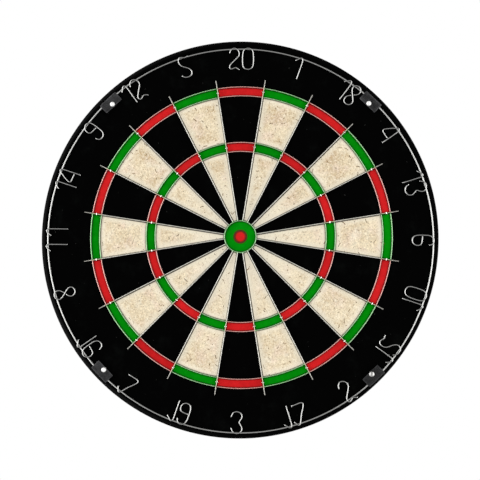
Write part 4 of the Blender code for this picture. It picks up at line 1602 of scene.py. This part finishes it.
@dataclass
class Clips:
    """Four swivel clips, each on a domed pin. The last clip and its pin are painted darker as painted
    shade, and that pin is patchy.
    """

    finish: Moulded
    dark_finish: Moulded
    pin_finish: Steel
    scuffed_finish: Steel
    length: float = 23.4 * MM
    width: float = 11.7 * MM
    thickness: float = 1.2 * MM
    pin_edge: float = 2.95 * MM
    corner: float = 0.9 * MM
    corner_steps: int = 5
    bevel: float = 0.35 * MM
    boss_radius: float = 2.6 * MM
    boss_sink: float = 0.2 * MM
    boss_steps: int = 32
    head_radius: float = 3.0 * MM
    head_height: float = 1.7 * MM
    head_rim: float = 0.15 * MM
    shank_radius: float = 1.0 * MM
    pin_steps: int = 40

    def build_clip(self, number: int) -> Piece:
        """A rounded plate with its boss.

        Args:
            number: The clip's number.

        Returns:
            The piece, in the board frame, with its edges marked for wear and a painted highlight.
        """
        pin = middle(f"clip_pin_{number}")
        back, front = depth(f"clip_{number}")
        low = front - self.thickness
        half, top, bottom = self.length / 2, self.width - self.pin_edge, -self.pin_edge
        r, bevel = self.corner, self.bevel
        right, left, upper, lower = half - r, r - half, top - r, bottom + r
        corners = ((right, upper), (left, upper), (left, lower), (right, lower))
        outline = []
        for quarter, corner in enumerate(corners):
            outline += rounded_corner(corner, r, 90 * quarter, 90 * (quarter + 1), self.corner_steps)
        heart = np.array((0.0, (top + bottom) / 2))
        sizes = np.array((half, (top - bottom) / 2))
        # How far in from the outline, how high, and how much wear and painted highlight, from the dished
        # front to the back
        levels = [
            (3.2 * MM, front - 0.12 * MM, 0.0), (1.6 * MM, front - 0.04 * MM, 0.1),
            (bevel, front, 0.8), (0.4 * bevel, front - 0.15 * bevel, 1.0),
            (0.1 * bevel, front - 0.5 * bevel, 0.9), (0.0, front - bevel, 0.5),
            (0.0, low + bevel, 0.1), (bevel, low, 0.1),
        ]
        solid = Solid()
        wear = solid.layer(WEAR_AND_SHEEN)
        rows = []
        for inset, height, worn in levels:
            row = []
            for point in outline:
                shrunk = heart + (np.array(point) - heart) * (1 - inset / sizes)
                vertex = solid.shape.verts.new((shrunk[0], shrunk[1], height))
                vertex[wear] = worn
                row.append(vertex)
            rows.append(row)
        solid.skin(rows)
        solid.cap(rows)
        boss_top = low + self.boss_sink
        boss = [(0.0, boss_top), (self.boss_radius, boss_top), (self.boss_radius, back), (0.0, back)]
        solid.revolve(boss, self.boss_steps)
        centre = ring_circle()[0]
        angle = math.atan2(pin[1] - centre[1], pin[0] - centre[0]) - QUARTER_TURN
        to_place = Matrix.Translation((pin[0], pin[1], 0)) @ Matrix.Rotation(angle, 4, "Z")
        return solid.turn(to_place).piece(f"clip_plate_{number}")

    def build_pin(self, number: int) -> Piece:
        """A domed pin.

        Args:
            number: The pin's number.

        Returns:
            The piece, in the board frame, with its crown marked.
        """
        node = f"clip_pin_{number}"
        back, front = depth(node)
        seat = front - self.head_height
        profile = dome(self.head_radius, seat + self.head_rim, self.head_height - self.head_rim, 12)
        profile += [(self.head_radius, seat), (self.shank_radius, seat)]
        profile += [(self.shank_radius, back), (0.0, back)]
        solid = Solid()
        crown = solid.layer(CROWN)
        for vertex in solid.revolve(profile, self.pin_steps).shape.verts:
            vertex[crown] = max(0.0, (vertex.co.z - seat) / self.head_height)
        return solid.shift(middle(node)).piece(f"pin_head_{number}")

    def make(self) -> None:
        """Builds and dresses the clips and their pins."""
        bodies = (Body.CLIP_1, Body.CLIP_2, Body.CLIP_3, Body.CLIP_4)
        for number, body in enumerate(bodies, 1):
            # The last clip and its pin are painted darker, as painted shade
            last = body is Body.CLIP_4
            finish = self.dark_finish if last else self.finish
            dress(self.build_clip(number), finish, Slot.CLIP, f"clip_{number}", body=body)
            finish = self.scuffed_finish if last else self.pin_finish
            dress(self.build_pin(number), finish, Slot.NICKEL, f"clip_pin_{number}")


@dataclass
class Rim:
    """The steel band round the board, its strap and rivets."""

    finish: Enamel
    thickness: float = 0.8 * MM
    bevel: float = 0.3 * MM
    split: float = 1.5 * MM
    strap_length: float = 40.0 * MM
    strap_thickness: float = 0.5 * MM
    strap_bevel: float = 0.25 * MM
    strap_steps: int = 40
    seat_gap: float = 0.05 * MM
    rivet_radius: float = 2.8 * MM
    rivet_shank: float = 1.5 * MM
    rivet_height: float = 0.4 * MM
    rivet_length: float = 7 * MM
    rivet_steps: int = 28
    bottom: float = 3 * QUARTER_TURN
    steps: int = 256

    def make(self) -> None:
        """Builds and dresses the band, the strap and the rivets."""
        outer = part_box("rim_band")[1].x
        half = self.split / 2 / outer
        section = soft_section(outer - self.thickness, outer, *depth("rim_band"), self.bevel)
        arc = (self.bottom + half, self.bottom + FULL_TURN - half)
        solid = Solid().revolve(section, self.steps, closed=True, arc=arc)
        dress(solid.piece("steel_band"), self.finish, Slot.BAND, "rim_band")

        inner = outer + self.seat_gap
        half = self.strap_length / 2 / outer
        outside = inner + self.strap_thickness
        section = soft_section(inner, outside, *depth("band_strap"), self.strap_bevel)
        arc = (self.bottom - half, self.bottom + half)
        solid = Solid().revolve(section, self.strap_steps, closed=True, arc=arc)
        dress(solid.piece("join_strap"), self.finish, Slot.BAND, "band_strap")

        seat = outside + self.seat_gap
        for number in (1, 2):
            piece = self.rivet(number, seat)
            dress(piece, self.finish, Slot.BAND, f"band_rivet_{number}")

    def rivet(self, number: int, seat: float) -> Piece:
        """A rivet that stands out from the rim.

        Args:
            number: The rivet's number.
            seat: How far its head's seat is from the centre of the board.

        Returns:
            The piece, in the board frame.
        """
        at = middle(f"band_rivet_{number}")
        tip = seat - self.rivet_length
        profile = dome(self.rivet_radius, seat, self.rivet_height)
        profile += [(self.rivet_shank, seat), (self.rivet_shank, tip), (0.0, tip)]
        round_rim = Matrix.Rotation(math.atan2(at[1], at[0]), 4, "Z")
        outwards = round_rim @ Matrix.Rotation(QUARTER_TURN, 4, "Y")
        to_place = Matrix.Translation((0, 0, at[2])) @ outwards
        return Solid().revolve(profile, self.rivet_steps).turn(to_place).piece(f"rivet_{number}")


@dataclass(frozen=True)
class Screw:
    """A pan-head screw that points out of the wall, with a cross recess in its head."""

    shank: float
    head: float
    height: float
    tip_share: float = 0.4
    cross_shares: Point3 = (1.05, 0.24, 1.5)
    cross_turn: float = 0.4
    steps: int = 36

    def build(self, name: str, node: str) -> Piece:
        """Builds the screw where a node is.

        Args:
            name: The name of the piece.
            node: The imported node.

        Returns:
            The piece, in the board frame.
        """
        back, tip = depth(node)
        seat = back + self.height
        profile = [(0.0, tip), (self.tip_share * self.shank, tip), (self.shank, tip - self.shank)]
        profile += [(self.shank, seat)] + dome(self.head, seat, -self.height)[::-1]
        piece = Solid().revolve(profile, self.steps).piece(name)
        long, wide, deep = self.cross_shares
        size = Matrix.Diagonal((long * self.head, wide * self.head, deep * self.height, 1))
        cross = Solid()
        for turn in (self.cross_turn, self.cross_turn + QUARTER_TURN):
            place = Matrix.Translation((0, 0, back)) @ Matrix.Rotation(turn, 4, "Z") @ size
            bmesh.ops.create_cube(cross.shape, size=1, matrix=place)
        cut = piece.modifiers.new("cross", "BOOLEAN")
        cut.operation = "DIFFERENCE"
        cut.solver = "EXACT"
        cut.use_self = True
        cut.object = cutter = cross.piece(f"{name}_cross")
        settle(piece)
        bpy.data.objects.remove(cutter)
        piece.data.transform(Matrix.Translation((*middle(node)[:2], 0)))
        return piece


@dataclass
class Back:
    """The backing board with its hanging screw, washer and feet."""

    finish: Chipboard
    zinc: Steel
    rubber: Moulded
    hanger: Screw = Screw(2.25 * MM, 4.5 * MM, 3.0 * MM)
    fixing: Screw = Screw(1.75 * MM, 3.5 * MM, 2.2 * MM)
    clearance: float = 0.3 * MM
    chamfer: float = 1.0 * MM
    soft: float = 0.3 * MM
    board_steps: int = 256
    washer_steps: int = 48
    foot_taper: float = 2 * MM
    foot_edge: float = 1.2 * MM
    foot_grooves: Point2 = (0.68, 0.42)
    groove: float = 0.5 * MM
    recess: float = 4.5 * MM
    recess_depth: float = 5.0 * MM
    foot_steps: int = 64

    def foot(self, number: int) -> Piece:
        """A rubber foot with a rounded edge, two moulded grooves and a screw recess.

        Args:
            number: The foot's number.

        Returns:
            The piece, in the board frame.
        """
        node = f"foot_{number}"
        back, front = depth(node)
        wide, soft, edge, groove = reach(node), self.soft, self.foot_edge, self.groove
        narrow = wide - self.foot_taper
        bore = self.fixing.shank + self.clearance
        section = [(bore, front), (wide - soft, front), (wide, front - soft)]
        for level in self.foot_grooves:
            height = back + level * (front - back)
            out = narrow + level * self.foot_taper
            section += [(out, height + groove), (out - groove, height), (out, height - groove)]
        section += rounded_corner((narrow - edge, back + edge), edge, 0, -90, 6)
        section += [(self.recess + soft, back), (self.recess, back + soft)]
        section += [(self.recess, back + self.recess_depth), (bore, back + self.recess_depth)]
        solid = Solid().revolve(section, self.foot_steps, closed=True)
        return solid.shift(middle(node)).piece(f"rubber_foot_{number}")

    def make(self) -> None:
        """Builds and dresses everything on the back."""
        back, front = depth("backing_board")
        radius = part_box("backing_board")[1].x
        profile = [(0.0, front), (radius - self.soft, front), (radius, front - self.soft)]
        profile += [(radius, back + self.chamfer), (radius - self.chamfer, back)]
        profile += [(share * radius, back) for share in (0.6, 0.3, 0.0)]
        piece = Solid().revolve(profile, self.board_steps).piece("chipboard_disc")
        dress(piece, self.finish, Slot.CHIPBOARD, "backing_board")

        bore, radius = self.hanger.shank + self.clearance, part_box("hanging_washer")[1].x
        section = soft_section(bore, radius, *depth("hanging_washer"), self.soft)
        piece = Solid().revolve(section, self.washer_steps, closed=True).piece("washer")
        dress(piece, self.zinc, Slot.ZINC, "hanging_washer")
        dress(self.hanger.build("hanger_screw", "hanging_screw"), self.zinc, Slot.ZINC, "hanging_screw")

        for number in (1, 2, 3):
            dress(self.foot(number), self.rubber, Slot.RUBBER, f"foot_{number}")
            node = f"foot_screw_{number}"
            dress(self.fixing.build(f"foot_fixing_{number}", node), self.zinc, Slot.ZINC, node)


@dataclass
class Studio:
    """Camera, floor and soft light."""

    bull: Point2
    distance: float = 1.355
    right_deg: float = 3.8
    below_deg: float = 3.7
    focal_px: float = 1208.8
    picture_px: float = 480.0
    centre_px: Point2 = (240.35, 236.63)
    sensor_mm: float = 36.0
    floor_drop: float = 1.73
    floor_radius: float = 2.5
    floor_fade: float = 0.95
    floor_steps: int = 64
    ambient: float = 0.78
    sheen: float = 0.44
    side_sheen: float = 3.4
    side_from: Point2 = (0.35, 0.75)
    left_watts: float = 15.0
    right_watts: float = 13.0
    lamp_at: Point3 = (2.0, -1.3, 0.1)
    lamp_size: Point2 = (1.1, 1.8)

    def make_camera(self) -> None:
        """The camera, at the photograph's angle and distance."""
        target = Vector((self.bull[0], -depth("sisal_pad")[1], self.bull[1]))
        right, below = math.radians(self.right_deg), math.radians(self.below_deg)
        level = math.cos(below)
        away = Vector((math.sin(right) * level, -math.cos(right) * level, -math.sin(below)))
        half = self.picture_px / 2
        off_centre = Vector((half - self.centre_px[0], 0, self.centre_px[1] - half))
        aim = target + off_centre * (self.distance / self.focal_px)
        data = bpy.data.cameras.new("camera")
        data.sensor_width = self.sensor_mm
        data.lens = self.focal_px / self.picture_px * self.sensor_mm
        camera = link("camera", data)
        camera.location = target + away * self.distance
        camera.rotation_euler = (aim - camera.location).to_track_quat("-Z", "Y").to_euler()
        bpy.context.scene.camera = camera

    def make_world(self) -> None:
        """A white surround that lights less than it shows, with bright sides for the steel."""
        world = bpy.data.worlds.new("surround")
        world.use_nodes = True
        world.node_tree.nodes.clear()
        tree = Tree(world.node_tree)
        rays = tree.add("ShaderNodeLightPath", {}, {}, "Is Camera Ray")
        seen = rays.math("MAXIMUM", rays.other("Is Transmission Ray"))
        sideways = abs(tree.axes(tree.place())[0])
        cards = sideways.rise(*self.side_from) * (self.side_sheen - self.sheen)
        mirrored = rays.other("Is Glossy Ray") * (cards + (self.sheen - self.ambient))
        strength = self.ambient + (1.0 - self.ambient) * seen + mirrored
        light = tree.add("ShaderNodeBackground", {}, {"Color": (1, 1, 1, 1), "Strength": strength})
        tree.add("ShaderNodeOutputWorld", {}, {"Surface": light})
        bpy.context.scene.world = world

    def make_lamp(self, name: str, at: Point3, watts: float) -> None:
        """A tall soft lamp aimed at the board.

        Args:
            name: The name of the lamp.
            at: Where it stands.
            watts: Its power.
        """
        data = bpy.data.lights.new(name, "AREA")
        data.energy = watts
        data.shape = "RECTANGLE"
        data.size, data.size_y = self.lamp_size
        lamp = link(name, data)
        lamp.location = at
        lamp.rotation_euler = (-Vector(at)).to_track_quat("-Z", "Y").to_euler()

    def make_floor(self) -> None:
        """A plain pale floor, as far below as a board hangs above one."""
        profile = [(radius, -self.floor_drop) for radius in (0.0, self.floor_radius)]
        floor = Solid().revolve(profile, self.floor_steps).piece("floor")
        gone = self.floor_fade * self.floor_radius
        finish = Paper("pale_floor", srgb(244, 244, 243), 0.9, specular=0.0, gone=gone)
        floor.data.materials.append(finish.material())

    def make(self) -> None:
        """Sets the scene round the object."""
        self.make_camera()
        self.make_world()
        self.make_floor()
        x, y, z = self.lamp_at
        self.make_lamp("left_box", (-x, y, z), self.left_watts)
        self.make_lamp("right_box", (x, y, z), self.right_watts)
        bpy.context.scene.view_settings.view_transform = "Standard"


def main() -> None:
    """Builds each sub-assembly in order, then the studio."""
    logging.basicConfig(level=logging.INFO, format="%(message)s")
    wire, band = 1.6 * MM, 0.9 * MM
    beds = Beds.from_frame(wire, band)

    sisal = Sisal("dyed_sisal", srgb(4, 4, 4), 0.9, specular=0.0, beds=beds)
    fleck = Fibre("brown_fibre", srgb(138, 108, 72), 0.8, specular=0.0, other=srgb(92, 72, 46))
    lint = Fibre("grey_lint", srgb(34, 34, 33), 0.9, specular=0.0, other=srgb(62, 62, 60))
    scatters = (
        Scatter("brown_fibres", fleck, True, 9000.0, 11, 0.8, 4.4, 2.5),
        Scatter("lint_specks", lint, False, 900.0, 5, 0.5, 1.4, 1.6),
    )
    SisalPad(beds, sisal, scatters).make()

    # Where the painted reflection and shade on the spider wires' flanks starts and ends
    worn = {"flank_end": 0.83, "crown_start": 0.97}
    bright = SpiderSteel("galvanised_wire", srgb(240, 237, 225), 0.44, 1.0, beds=beds, **worn)
    stained = Steel("stained_steel", srgb(84, 52, 30), 0.6, 0.6, vary=0.5)
    staple = Steel("bright_staple", srgb(232, 232, 228), 0.22, 1.0)
    Spider(beds, wire, band, bright, stained, staple).make()

    # Where the painted shade down the number wire's flanks starts and ends
    worn = {"flank_end": 0.74, "crown_start": 0.94}
    NumberRing(RoundedSteel("number_wire", srgb(200, 200, 197), 0.22, 1.0, **worn)).make()

    # The clips' plastic; its paler edges are wear and a painted highlight
    plastic = Moulded("clip_grey", srgb(38, 38, 39), 0.55, specular=0.2, worn=srgb(78, 78, 80))
    # The fourth clip's plastic, painted darker as painted shade
    shaded_plastic = Moulded("clip_dark_grey", srgb(27, 27, 28), 0.55, specular=0.2, worn=srgb(58, 58, 60))
    # The pins: near-white heads as a painted highlight, with painted shade round the rim of each dome
    worn = {"flank": 0.3, "flank_end": 0.5, "crown_start": 0.8}
    nickel = RoundedSteel("satin_nickel", srgb(253, 252, 250), 0.4, 0.2, vary=0.06, **worn)
    # The fourth pin: patchy, and painted darker as painted shade
    scuffed = Steel("scuffed_nickel", srgb(172, 171, 169), 0.5, 1.0, patch=2.0 * MM, vary=0.4)
    Clips(plastic, shaded_plastic, nickel, scuffed).make()

    Rim(Enamel("black_enamel", srgb(11, 11, 12), 0.48, specular=0.3)).make()

    chipboard = Chipboard("painted_chipboard", srgb(24, 23, 22), 0.8, specular=0.3)
    zinc = Steel("zinc_plate", srgb(186, 186, 182), 0.36, 1.0, patch=2.5 * MM)
    rubber = Moulded("foot_rubber", srgb(26, 26, 26), 0.85, specular=0.3, texture=0.8 * MM)
    Back(chipboard, zinc, rubber).make()
    Studio(beds.centre).make()


if __name__ == "__main__":
    main()
